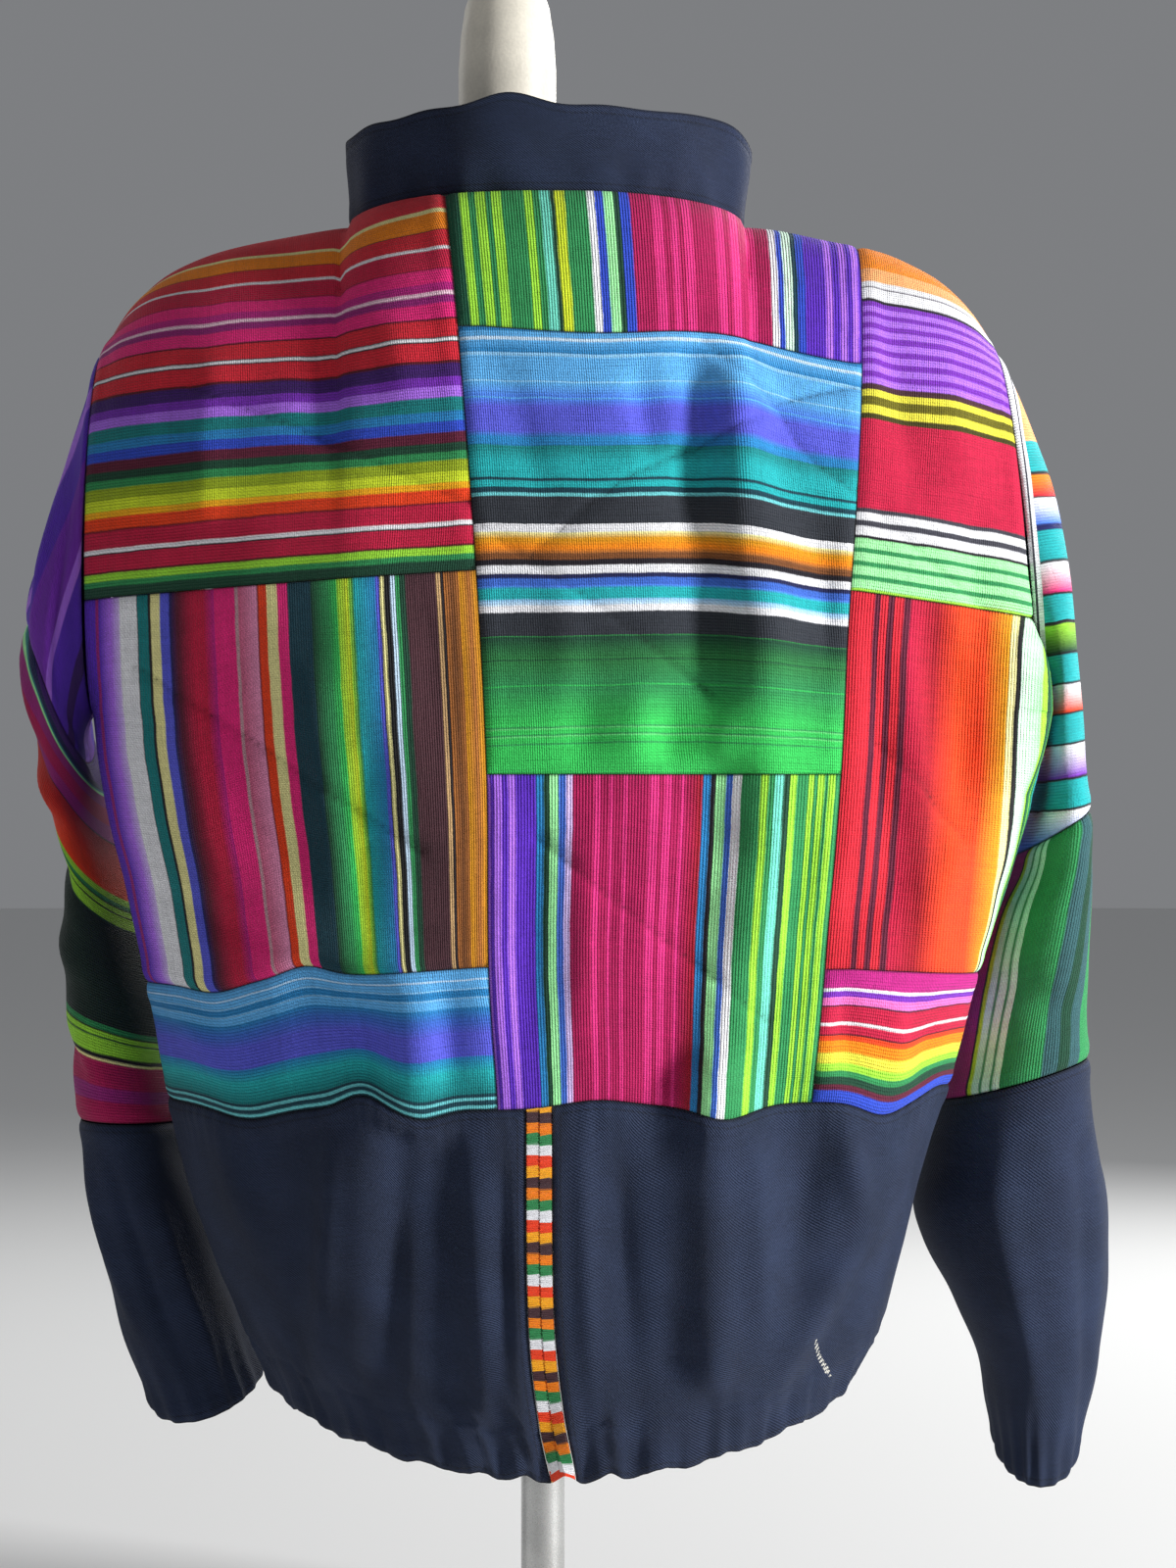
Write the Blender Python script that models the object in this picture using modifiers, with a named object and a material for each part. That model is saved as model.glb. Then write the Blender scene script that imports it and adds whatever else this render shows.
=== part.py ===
"""Quilted patchwork jacket standing on a dress form.

Metres, +Z up. The back of the jacket faces -Y and the front faces +Y. The form stands on
z = 0. Cloth is a thin wall: an outer skin worked out from the jacket's sections, and an
inner skin one cloth thickness inside it.
"""
import math
from collections import namedtuple

import bmesh
import bpy
from mathutils import Matrix, Vector

PART = "patchwork_jacket"

# Cloth and sewing
QUILT = 0.0026
CANVAS = 0.0018
TAPE = 0.0012
SEAM = 0.0003
STEP = 0.026
BAND_STEP = 0.0125
BAND_ROWS = 10
NUDGE = 0.004
CROWD = 1.35

# Middle of the whole part, so that it stands over the origin
CENTRE_X = 0.018

# Body of the jacket: sections from the hem up to the underarm
Section = namedtuple("Section", "height shift half_width back front")
BODY = (
    Section(0.131, 0.010, 0.146, 0.098, 0.085),
    Section(0.171, 0.011, 0.158, 0.113, 0.098),
    Section(0.198, 0.012, 0.172, 0.123, 0.107),
    Section(0.241, 0.009, 0.188, 0.131, 0.113),
    Section(0.293, 0.0065, 0.2036, 0.135, 0.116),
    Section(0.336, 0.0095, 0.2149, 0.135, 0.117),
    Section(0.390, 0.0113, 0.2273, 0.135, 0.118),
    Section(0.444, 0.0140, 0.2420, 0.135, 0.120),
    Section(0.488, 0.0145, 0.2530, 0.135, 0.122),
    Section(0.538, 0.01125, 0.25675, 0.135, 0.123),
)
BACK_FULLNESS = 2.35
FRONT_PINCH = 0.70
PINCH_TOP = 0.560
PINCH_FADE = 0.080
UNDERARM = 0.538
SHOULDER_TIP = 0.735
TIP_SHIFT = 0.0045
TIP_HALF_WIDTH = 0.2455
ARMHOLE_DEPTH = 0.070
SHOULDER_ROUND = 2.6
UNDERARM_PRESS = 0.35
PANEL_PRESS = 0.05

# Shoulder line, by the distance from the middle of the neck
Slope = namedtuple("Slope", "out height")
SHOULDER = (
    Slope(0.000, 0.803),
    Slope(0.108, 0.803),
    Slope(0.152, 0.796),
    Slope(0.180, 0.790),
    Slope(0.200, 0.782),
    Slope(0.215, 0.773),
    Slope(0.230, 0.758),
    Slope(0.2455, 0.735),
)
NECK_SHIFT = 0.003
NECK_HALF = 0.108
NECK_BACK = 0.076
NECK_FRONT = 0.086
NECK_RISE = 0.010
NECK_DIP = 0.048

# Hem: lowest in the middle of the back, higher at the sides
HEM = 0.131
HEM_SIDE = 0.168
HEM_FRONT = 0.171

# Gathers of the lower band
GATHERS = 26
GATHER_DEPTH = 0.0030
GATHER_DROP = 0.0028
GATHER_HEIGHT = 0.075
GATHER_FADE = 0.020

# Seams that run up the back, as places across at a height
Seam = namedtuple("Seam", "height across")
LEFT_SEAM = (
    Seam(0.131, -0.012),
    Seam(0.331, -0.021),
    Seam(0.401, -0.0255),
    Seam(0.501, -0.0265),
    Seam(0.608, -0.032),
    Seam(0.736, -0.042),
    Seam(0.820, -0.051),
)
RIGHT_SEAM = (
    Seam(0.131, 0.120),
    Seam(0.332, 0.1435),
    Seam(0.502, 0.158),
    Seam(0.580, 0.162),
    Seam(0.650, 0.167),
    Seam(0.720, 0.171),
    Seam(0.820, 0.174),
)
JOIN = (
    Seam(0.120, 0.0145),
    Seam(0.131, 0.013),
    Seam(0.165, 0.0066),
    Seam(0.220, 0.0015),
    Seam(0.331, 0.0005),
    Seam(0.350, 0.0005),
)
JOIN_HALF = 0.0066

# Columns of the back: where each starts and ends, how wide it is round the body, and how
# tall its patches are
Column = namedtuple("Column", "name start end wide lower middle upper")
COLUMNS = (
    Column("left", -0.245, -0.030, 0.27, 0.08, 0.21, 0.25),
    Column("middle", -0.030, 0.165, 0.20, 0.18, 0.21, 0.08),
    Column("right", 0.165, 0.270, 0.15, 0.08, 0.21, 0.25),
)
BACK_SPAN = (-0.245, 0.270)

# Rows of the front, by the seams under and over them
Row = namedtuple("Row", "name under over tall")
FRONT_ROWS = (
    Row("lower", "front_band", "front_low", 0.125),
    Row("middle", "front_low", "front_high", 0.16),
    Row("upper", "front_high", None, 0.22),
)
FRONT_SPAN = (-0.300, 0.300)
FRONT_WIDE = 0.30
BAND_BACK_WIDE = 0.25
BAND_FRONT_WIDE = 0.22

# Seams that run across, as heights at the two ends of each patch
Cross = namedtuple("Cross", "left right")
CROSS = {
    "band": Cross(0.327, 0.332),
    "left_low": Cross(0.388, 0.403),
    "left_high": Cross(0.596, 0.609),
    "middle_low": Cross(0.503, 0.503),
    "middle_high": Cross(0.737, 0.720),
    "right_low": Cross(0.401, 0.393),
    "right_high": Cross(0.599, 0.586),
    "front_low": Cross(0.452, 0.452),
    "front_high": Cross(0.610, 0.610),
    "front_band": Cross(0.327, 0.327),
}

# Largest folds: soft troughs (depth below zero) and ridges on the cloth
Fold = namedtuple("Fold", "face x0 z0 x1 z1 spread depth")
FOLDS = (
    Fold(-1, 0.074, 0.700, 0.092, 0.490, 0.020, -0.006),
    Fold(-1, 0.106, 0.705, 0.120, 0.500, 0.017, 0.007),
    Fold(-1, 0.088, 0.470, 0.068, 0.350, 0.018, -0.005),
    Fold(-1, 0.118, 0.470, 0.097, 0.350, 0.016, 0.006),
    Fold(-1, 0.200, 0.460, 0.125, 0.390, 0.018, -0.006),
    Fold(-1, 0.205, 0.574, 0.226, 0.475, 0.014, -0.004),
    Fold(-1, 0.092, 0.345, 0.094, 0.190, 0.014, 0.009),
    Fold(-1, -0.190, 0.712, -0.194, 0.650, 0.012, -0.003),
    Fold(-1, -0.176, 0.715, -0.180, 0.640, 0.012, 0.004),
    Fold(-1, -0.118, 0.392, -0.116, 0.330, 0.018, -0.004),
    Fold(-1, -0.070, 0.392, -0.066, 0.330, 0.016, 0.005),
    Fold(-1, 0.130, 0.335, 0.150, 0.250, 0.020, -0.011),
    Fold(-1, 0.064, 0.320, 0.072, 0.200, 0.014, -0.006),
    Fold(-1, -0.090, 0.320, -0.105, 0.190, 0.018, 0.005),
    Fold(-1, -0.050, 0.300, -0.045, 0.180, 0.014, -0.004),
    Fold(-1, -0.140, 0.310, -0.135, 0.200, 0.016, -0.005),
    Fold(-1, -0.190, 0.600, -0.130, 0.470, 0.026, -0.005),
    Fold(-1, -0.100, 0.640, -0.070, 0.500, 0.030, 0.004),
    Fold(1, -0.120, 0.600, -0.090, 0.420, 0.028, -0.007),
    Fold(1, 0.120, 0.590, 0.085, 0.400, 0.028, -0.007),
    Fold(1, -0.070, 0.330, -0.076, 0.200, 0.016, 0.006),
    Fold(1, 0.080, 0.330, 0.070, 0.200, 0.016, 0.006),
    Fold(1, 0.125, 0.320, 0.118, 0.220, 0.015, -0.005),
    Fold(1, -0.115, 0.320, -0.125, 0.220, 0.015, -0.005),
)

# Sleeves: rings from the armhole to the cuff, by their outer and inner ends
Ring = namedtuple("Ring", "out_x out_z in_x in_z forward half_depth lean drop")
LEFT_SLEEVE = (
    Ring(-0.2415, 0.7350, -0.2460, 0.5380, 0.000, 0.0700, 0.00, 0.0),
    Ring(-0.2510, 0.7000, -0.2490, 0.5340, 0.000, 0.0705, 0.00, 0.0),
    Ring(-0.2625, 0.6640, -0.2510, 0.5280, 0.001, 0.0710, 0.01, 0.0),
    Ring(-0.2730, 0.6280, -0.2520, 0.5200, 0.004, 0.0715, 0.03, 0.0),
    Ring(-0.2795, 0.5900, -0.2505, 0.5100, 0.010, 0.0715, 0.07, 0.0),
    Ring(-0.2805, 0.5520, -0.2460, 0.4980, 0.019, 0.0705, 0.12, 0.0),
    Ring(-0.2765, 0.5220, -0.2390, 0.4840, 0.029, 0.0690, 0.18, 0.0),
    Ring(-0.2695, 0.4940, -0.2300, 0.4670, 0.037, 0.0675, 0.23, 0.0),
    Ring(-0.2640, 0.4620, -0.2200, 0.4470, 0.043, 0.0660, 0.25, 0.0),
    Ring(-0.2625, 0.4280, -0.2110, 0.4200, 0.047, 0.0645, 0.25, 0.0),
    Ring(-0.2635, 0.3850, -0.2030, 0.3800, 0.049, 0.0610, 0.22, 0.0),
    Ring(-0.2620, 0.3500, -0.1990, 0.3460, 0.048, 0.0590, 0.20, 0.0),
    Ring(-0.2575, 0.3120, -0.1940, 0.3100, 0.047, 0.0560, 0.16, 0.0),
    Ring(-0.2540, 0.2750, -0.1880, 0.2760, 0.046, 0.0530, 0.12, 0.0),
    Ring(-0.2490, 0.2450, -0.1820, 0.2500, 0.045, 0.0500, 0.08, 0.0),
    Ring(-0.2415, 0.2150, -0.1750, 0.2230, 0.043, 0.0470, 0.05, 0.002),
    Ring(-0.2340, 0.1880, -0.1670, 0.1990, 0.041, 0.0450, 0.00, 0.005),
    Ring(-0.2250, 0.1680, -0.1610, 0.1810, 0.039, 0.0430, 0.00, 0.009),
    Ring(-0.2170, 0.1530, -0.1560, 0.1690, 0.037, 0.0420, 0.00, 0.013),
)
RIGHT_SLEEVE = (
    Ring(0.2505, 0.7350, 0.2685, 0.5380, 0.000, 0.0700, 0.00, 0.0),
    Ring(0.2625, 0.7080, 0.2720, 0.5340, 0.000, 0.0705, 0.00, 0.0),
    Ring(0.2750, 0.6770, 0.2740, 0.5280, 0.001, 0.0710, 0.01, 0.0),
    Ring(0.2845, 0.6430, 0.2750, 0.5200, 0.004, 0.0715, 0.03, 0.0),
    Ring(0.2905, 0.6000, 0.2748, 0.5060, 0.010, 0.0715, 0.07, 0.0),
    Ring(0.2950, 0.5580, 0.2725, 0.4900, 0.019, 0.0705, 0.12, 0.0),
    Ring(0.2980, 0.5220, 0.2670, 0.4730, 0.029, 0.0690, 0.18, 0.0),
    Ring(0.3010, 0.4900, 0.2585, 0.4570, 0.037, 0.0675, 0.23, 0.0),
    Ring(0.3030, 0.4600, 0.2490, 0.4410, 0.043, 0.0660, 0.25, 0.0),
    Ring(0.3040, 0.4250, 0.2370, 0.4200, 0.047, 0.0645, 0.25, 0.0),
    Ring(0.3040, 0.3920, 0.2290, 0.3780, 0.049, 0.0620, 0.22, 0.0),
    Ring(0.3045, 0.3600, 0.2220, 0.3320, 0.048, 0.0590, 0.20, 0.0),
    Ring(0.3070, 0.3250, 0.2160, 0.3060, 0.047, 0.0570, 0.16, 0.0),
    Ring(0.3110, 0.2950, 0.2120, 0.2840, 0.046, 0.0550, 0.12, 0.0),
    Ring(0.3160, 0.2660, 0.2090, 0.2630, 0.045, 0.0530, 0.08, 0.0),
    Ring(0.3165, 0.2400, 0.2150, 0.2420, 0.043, 0.0500, 0.05, 0.0),
    Ring(0.3150, 0.2080, 0.2310, 0.2110, 0.041, 0.0470, 0.00, 0.002),
    Ring(0.3110, 0.1760, 0.2440, 0.1800, 0.038, 0.0440, 0.00, 0.005),
    Ring(0.3035, 0.1480, 0.2490, 0.1520, 0.035, 0.0410, 0.00, 0.010),
    Ring(0.2975, 0.1280, 0.2540, 0.1270, 0.032, 0.0390, 0.00, 0.016),
)
SLEEVE_SIDES = 18
SLEEVE_GAP = 0.012
SLEEVE_PRESS = 0.11

# Pieces of each sleeve, by the rings that they run between
Span = namedtuple("Span", "name first last")
LEFT_SPANS = (Span("upper", 0, 4), Span("middle", 4, 12), Span("lower", 12, 18))
RIGHT_SPANS = (Span("upper", 0, 7.2), Span("middle", 7.2, 11.4), Span("lower", 11.4, 19))

# Stand collar
COLLAR_BACK = 0.047
COLLAR_FRONT = 0.041
COLLAR_GAP = 0.05
COLLAR_STEPS = 40
COLLAR_ROWS = 3
COLLAR_LEAN = 0.004
COLLAR_EASE = 0.0022
COLLAR_WAVE = 0.0022
COLLAR_RIPPLE = 0.0014
COLLAR_CORNER = 0.05
COLLAR_CORNER_HEIGHT = 0.72

# Zip
FRONT_MIDDLE = 0.004
ZIP_HALF = 0.013
ZIP_ROWS = 20
SLIDER_WIDTH = 0.0095
SLIDER_LENGTH = 0.013
SLIDER_DEPTH = 0.0034
SLIDER_DROP = 0.012
SLIDER_SINK = 0.0012
BRIDGE_HEIGHT = 0.0036
BRIDGE_LENGTH = 0.0072
BRIDGE_WIRE = 0.0007
TAB_WIDTH = 0.0072
TAB_LENGTH = 0.027
TAB_DEPTH = 0.0013
TAB_BAR = 0.0014
TAB_EYE_WIDTH = 0.0034
TAB_EYE_LENGTH = 0.0075
TAB_LIFT = 0.0015
TAB_CORNER = 0.22
BRIDGE_SINK = 0.0002

# Dress form
FORM_X = 0.001
KNOB_X = -0.0185
Girth = namedtuple("Girth", "height half_width half_depth forward")
TORSO = (
    Girth(0.225, 0.100, 0.066, 0.004),
    Girth(0.240, 0.112, 0.074, 0.004),
    Girth(0.290, 0.122, 0.082, 0.002),
    Girth(0.360, 0.116, 0.078, 0.000),
    Girth(0.430, 0.120, 0.080, 0.000),
    Girth(0.510, 0.140, 0.086, -0.002),
    Girth(0.600, 0.156, 0.084, -0.006),
    Girth(0.680, 0.164, 0.074, -0.008),
    Girth(0.735, 0.166, 0.058, -0.006),
    Girth(0.768, 0.160, 0.038, -0.003),
    Girth(0.7866, 0.148, 0.022, -0.002),
    Girth(0.7961, 0.126, 0.016, -0.001),
    Girth(0.7988, 0.104, 0.017, -0.002),
    Girth(0.8010, 0.074, 0.027, -0.003),
    Girth(0.8120, 0.050, 0.042, -0.004),
    Girth(0.8300, 0.045, 0.043, -0.004),
)
TORSO_SIDES = 36
NECK_LEAN_START = 0.795
NECK_LEAN_RISE = 0.030
Turn = namedtuple("Turn", "radius height")
KNOB = (
    Turn(0.0000, 0.9460),
    Turn(0.0080, 0.9450),
    Turn(0.0150, 0.9410),
    Turn(0.0200, 0.9340),
    Turn(0.0232, 0.9240),
    Turn(0.0256, 0.9080),
    Turn(0.0268, 0.8900),
    Turn(0.0268, 0.8740),
    Turn(0.0262, 0.8600),
    Turn(0.0250, 0.8460),
    Turn(0.0240, 0.8303),
    Turn(0.0000, 0.8303),
)
KNOB_SIDES = 28
POLE_RADIUS = 0.012
BASE_RADIUS = 0.138
BASE_HEIGHT = 0.018
BASE_EDGE = 0.004
BASE_SIDES = 40
POLE_SIDES = 16


def clamp(value, low=0.0, high=1.0):
    return max(low, min(high, value))


def ease(t):
    return t * t * (3 - 2 * t)


def read(table, key, value, column):
    """A column of a table at any place, on a smooth curve through its rows."""
    rows = sorted(table, key=lambda row: getattr(row, key))
    keys = [getattr(row, key) for row in rows]
    vals = [getattr(row, column) for row in rows]
    value = clamp(value, keys[0], keys[-1])
    i = 0
    while i < len(keys) - 2 and value > keys[i + 1]:
        i += 1
    width = keys[i + 1] - keys[i]
    t = (value - keys[i]) / width

    def slope(k):
        low = max(k - 1, 0)
        high = min(k + 1, len(keys) - 1)
        return (vals[high] - vals[low]) / (keys[high] - keys[low])

    t2 = t * t
    t3 = t2 * t
    return ((2 * t3 - 3 * t2 + 1) * vals[i] + (t3 - 2 * t2 + t) * width * slope(i)
            + (3 * t2 - 2 * t3) * vals[i + 1] + (t3 - t2) * width * slope(i + 1))


def shift(z):
    if z < UNDERARM:
        return read(BODY, "height", z, "shift")
    rise = clamp((z - UNDERARM) / (SHOULDER_TIP - UNDERARM))
    return BODY[-1].shift + (TIP_SHIFT - BODY[-1].shift) * rise


def half_width(z):
    if z < UNDERARM:
        return read(BODY, "height", z, "half_width")
    rise = clamp((z - UNDERARM) / (SHOULDER_TIP - UNDERARM))
    return BODY[-1].half_width + (TIP_HALF_WIDTH - BODY[-1].half_width) * rise


def neck_place(x):
    """How far across the neck ring a place is, from 0 in the middle to 1 at its side."""
    return min(abs(x - NECK_SHIFT) / NECK_HALF, 1.0)


def top_height(face, x):
    """Height of the shoulder line, or of the neck seam, above a place across."""
    out = abs(x - TIP_SHIFT)
    line = read(SHOULDER, "out", out, "height")
    ring = math.sqrt(1 - neck_place(x) ** 2)
    return line + (NECK_RISE if face < 0 else -NECK_DIP) * ring


def neck_depth(face, x):
    ring = math.sqrt(1 - neck_place(x) ** 2)
    return (NECK_BACK if face < 0 else NECK_FRONT) * ring


def fold_depth(face, x, z):
    """Height of the large folds above the plain cloth."""
    total = 0.0
    for fold in FOLDS:
        if fold.face != face:
            continue
        along = Vector((fold.x1 - fold.x0, fold.z1 - fold.z0))
        place = Vector((x - fold.x0, z - fold.z0))
        run = clamp(place.dot(along) / along.length_squared)
        away = (place - along * run).length / fold.spread
        total += fold.depth * math.exp(-away * away)
    return total


def hem_height(face, across):
    if face < 0:
        return HEM + (HEM_SIDE - HEM) * across ** 2
    return HEM_FRONT + (HEM_SIDE - HEM_FRONT) * across ** 2


def cloth_depth(face, x, z):
    """Distance of the cloth from the plane of the side seams."""
    across = min(abs(x - shift(z)) / half_width(z), 1.0)
    power = BACK_FULLNESS
    if face > 0:
        power -= FRONT_PINCH * ease(clamp((PINCH_TOP - z) / PINCH_FADE))
    reach = read(BODY, "height", z, "back" if face < 0 else "front")
    folds = fold_depth(face, x, z) * min(1.0, 3.0 * (1 - across))
    middle = 1 - across ** power
    if z <= UNDERARM:
        return reach * middle ** (1 / power) + folds
    rise = clamp((z - UNDERARM) / (top_height(face, x) - UNDERARM), 0.0, 1 - 1e-7)
    fall = math.sqrt(1 - rise ** SHOULDER_ROUND)
    hole = ARMHOLE_DEPTH * math.sqrt(4 * rise * (1 - rise)) / fall
    whole = (reach ** power * middle + (hole * across) ** power) ** (1 / power)
    crest = neck_depth(face, x)
    return crest + (whole + folds - crest) * fall


def cloth_point(face, x, z):
    return Vector((x, face * (cloth_depth(face, x, z) + SEAM / 2), z))


def across_seam(table, z):
    return read(table, "height", z, "across")


def wall(name, skin, counts, thickness, material, closed=False, flats=None, press=None):
    """A cloth wall whose outer face is skin(p, q), with p across and q up.

    flats(p, q) gives the directions that the thickness has none of there, so that two
    pieces meet edge to edge at a seam. press(point) gives the share of the thickness
    that is left there.
    """
    across, up = counts
    outer = []
    inner = []
    columns = across if closed else across + 1
    for j in range(up + 1):
        for i in range(columns):
            p = i / across
            q = j / up
            here = skin(p, q)
            p0 = p - NUDGE if closed else max(p - NUDGE, 0.0)
            p1 = p + NUDGE if closed else min(p + NUDGE, 1.0)
            along = skin(p1, q) - skin(p0, q)
            rise = skin(p, min(q + NUDGE, 1.0)) - skin(p, max(q - NUDGE, 0.0))
            normal = along.cross(rise).normalized()
            for flat in (flats(p, q) if flats else ()):
                normal -= flat * normal.dot(flat)
                normal.normalize()
            outer.append(here)
            inner.append(here - normal * thickness * (press(here) if press else 1.0))
    mesh = bmesh.new()
    top = [mesh.verts.new(point) for point in outer]
    low = [mesh.verts.new(point) for point in inner]

    def at(side, i, j):
        return side[j * columns + (i % columns)]

    for j in range(up):
        for i in range(across):
            spots = ((i, j), (i + 1, j), (i + 1, j + 1), (i, j + 1))
            a, b, c, d = (at(top, *spot).co for spot in spots)
            if (a - c).length < (b - d).length:
                halves = ((0, 1, 2), (0, 2, 3))
            else:
                halves = ((0, 1, 3), (1, 2, 3))
            for half in halves:
                mesh.faces.new([at(top, *spots[k]) for k in half])
                mesh.faces.new([at(low, *spots[k]) for k in reversed(half)])
    for i in range(across):
        mesh.faces.new((at(top, i, 0), at(low, i, 0), at(low, i + 1, 0), at(top, i + 1, 0)))
        mesh.faces.new((at(top, i, up), at(top, i + 1, up), at(low, i + 1, up), at(low, i, up)))
    if not closed:
        for j in range(up):
            mesh.faces.new((at(top, 0, j), at(top, 0, j + 1), at(low, 0, j + 1), at(low, 0, j)))
            mesh.faces.new((at(top, across, j), at(low, across, j),
                            at(low, across, j + 1), at(top, across, j + 1)))
    bmesh.ops.triangulate(mesh, faces=mesh.faces)
    bmesh.ops.recalc_face_normals(mesh, faces=mesh.faces)
    data = bpy.data.meshes.new(name)
    mesh.to_mesh(data)
    mesh.free()
    return place(name, data, material)


def material(name, colour, roughness, metallic=0.0):
    made = bpy.data.materials.get(name)
    if made:
        return made
    made = bpy.data.materials.new(name)
    made.use_nodes = True
    shader = made.node_tree.nodes["Principled BSDF"]
    shader.inputs["Base Color"].default_value = (*colour, 1.0)
    shader.inputs["Roughness"].default_value = roughness
    shader.inputs["Metallic"].default_value = metallic
    return made


def place(name, data, look):
    """Put a mesh in the part's collection under its own name."""
    data.materials.clear()
    data.materials.append(look)
    piece = bpy.data.objects.new(name, data)
    bpy.data.collections[PART].objects.link(piece)
    data.shade_smooth()
    data.set_sharp_from_angle(angle=math.radians(40))
    return piece


def side_edge(side):
    """The edge of a panel at the side seam and armhole."""
    return lambda z: shift(z) + side * half_width(z)


def seam_edge(table, side):
    return lambda z: across_seam(table, z) + side * SEAM / 2


def level(cross, ends, side):
    """A seam across a patch, from its height at the left end to that at the right."""
    def height(x):
        t = clamp((x - ends[0]) / (ends[1] - ends[0]))
        return cross.left + (cross.right - cross.left) * t + side * SEAM / 2
    return height


def shoulder(face):
    return lambda x: top_height(face, x)


def panel_skin(face, edges, levels, crowd=1.0):
    """The outer face of a panel between two upright edges and two cross edges."""
    left, right = edges
    low, high = levels

    def skin(p, q):
        q_up = 1 - (1 - q) ** crowd
        z = (low(0.0) + high(0.0)) / 2
        x = 0.0
        for _ in range(5):
            centre = shift(z)
            width = half_width(z)
            a = math.asin(clamp((left(z) - centre) / width, -1.0, 1.0))
            b = math.asin(clamp((right(z) - centre) / width, -1.0, 1.0))
            turn = a + (b - a) * (p if face < 0 else 1 - p)
            x = centre + width * math.sin(turn)
            z = low(x) + (high(x) - low(x)) * q_up
        return cloth_point(face, x, z)
    return skin


ACROSS = Vector((1.0, 0.0, 0.0))
FORTH = Vector((0.0, 1.0, 0.0))
UP = Vector((0.0, 0.0, 1.0))


def armhole(side):
    """The direction square to the armhole's edge, seen from the front."""
    under = side * BODY[-1].half_width + BODY[-1].shift
    tip = side * TIP_HALF_WIDTH + TIP_SHIFT
    return Vector((SHOULDER_TIP - UNDERARM, 0.0, under - tip)).normalized()


def panel_planes(skin, sides, is_top=False, cross_low=True):
    """Which way each edge of a panel is cut off square.

    sides says for the edge at p = 0 and at p = 1 whether it is a side seam (-1 or 1) or an
    upright seam between two patches (0).
    """
    def flats(p, q):
        found = []
        point = skin(p, q)
        for here, side in ((p < 1e-6, sides[0]), (p > 1 - 1e-6, sides[1])):
            if here and side == 0:
                found.append(ACROSS)
            elif here:
                found.append(armhole(side) if point.z > UNDERARM else FORTH)
        if q < 1e-6 and cross_low:
            found.append(UP)
        if q > 1 - 1e-6 and not is_top:
            found.append(UP)
        if q > 1 - 1e-6 and is_top and neck_place(point.x) >= 1.0:
            found.append(FORTH)
        return found[:2]
    return flats


def pressed(point, reach=PANEL_PRESS):
    """The cloth is pressed thin where side seam, armhole and sleeve meet."""
    side = 1 if point.x > shift(UNDERARM) else -1
    corner = Vector((shift(UNDERARM) + side * half_width(UNDERARM), 0.0, UNDERARM))
    away = clamp((point - corner).length / reach)
    return UNDERARM_PRESS + (1 - UNDERARM_PRESS) * away ** 2


def panel(name, face, edges, sides, levels, size, look, is_top):
    """A patch of the body. The rows of one that reaches the shoulder crowd towards it."""
    skin = panel_skin(face, edges, levels, CROWD if is_top else 1.0)
    flats = panel_planes(skin, sides if face < 0 else sides[::-1], is_top)
    counts = [max(2, round(length / STEP)) for length in size]
    return wall(name, skin, counts, QUILT, look, flats=flats, press=pressed)


def back_patches(looks):
    edges = {
        "left": (side_edge(-1), seam_edge(LEFT_SEAM, -1)),
        "middle": (seam_edge(LEFT_SEAM, 1), seam_edge(RIGHT_SEAM, -1)),
        "right": (seam_edge(RIGHT_SEAM, 1), side_edge(1)),
    }
    sides = {"left": (-1, 0), "middle": (0, 0), "right": (0, 1)}
    for column in COLUMNS:
        low = CROSS[column.name + "_low"]
        high = CROSS[column.name + "_high"]
        ends = (column.start, column.end)
        patches = (
            ("lower", level(CROSS["band"], BACK_SPAN, 1), level(low, ends, -1), column.lower),
            ("middle", level(low, ends, 1), level(high, ends, -1), column.middle),
            ("upper", level(high, ends, 1), shoulder(-1), column.upper),
        )
        for name, under, over, tall in patches:
            title = column.name + "_" + name
            panel("back_" + title, -1, edges[column.name], sides[column.name], (under, over),
                  (column.wide, tall), looks[title], name == "upper")


def front_edge(side):
    return lambda z: side * (ZIP_HALF + SEAM / 2) + FRONT_MIDDLE


def front_panels(looks):
    for label, side in (("left", -1), ("right", 1)):
        outer = side_edge(side)
        inner = front_edge(side)
        edges = (outer, inner) if side < 0 else (inner, outer)
        sides = (-1, 0) if side < 0 else (0, 1)
        for row in FRONT_ROWS:
            under = level(CROSS[row.under], FRONT_SPAN, 1)
            over = level(CROSS[row.over], FRONT_SPAN, -1) if row.over else shoulder(1)
            panel("front_" + label + "_" + row.name, 1, edges, sides, (under, over),
                  (FRONT_WIDE, row.tall), looks["front_" + row.name], row.over is None)


def gather(turn, drop):
    """Waves of the gathered hem, uneven in size, by the place round the body."""
    wave = math.sin(GATHERS * turn + 0.9 * math.sin(3 * turn + 0.4))
    size = 0.75 + 0.25 * math.sin(5 * turn + 1.1)
    return wave * size * clamp(1 - drop / GATHER_HEIGHT) ** 1.4


def band_skin(face, edges, high):
    """The lower band: plain at its seam, in waves at the hem."""
    def low(x):
        across = min(abs(x - shift(HEM_SIDE)) / half_width(HEM_SIDE), 1.0)
        return hem_height(face, across)

    plain = panel_skin(face, edges, (low, high))

    def skin(p, q):
        point = plain(p, q)
        out = Vector((point.x - shift(point.z), point.y, 0.0))
        turn = math.atan2(out.x, -out.y)
        drop = (high(point.x) - low(point.x)) * q
        wave = gather(turn, drop) * clamp(abs(point.y) / GATHER_FADE)
        point += out.normalized() * wave * GATHER_DEPTH
        point.z += wave * GATHER_DROP * (1 - q)
        return point
    return skin


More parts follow.
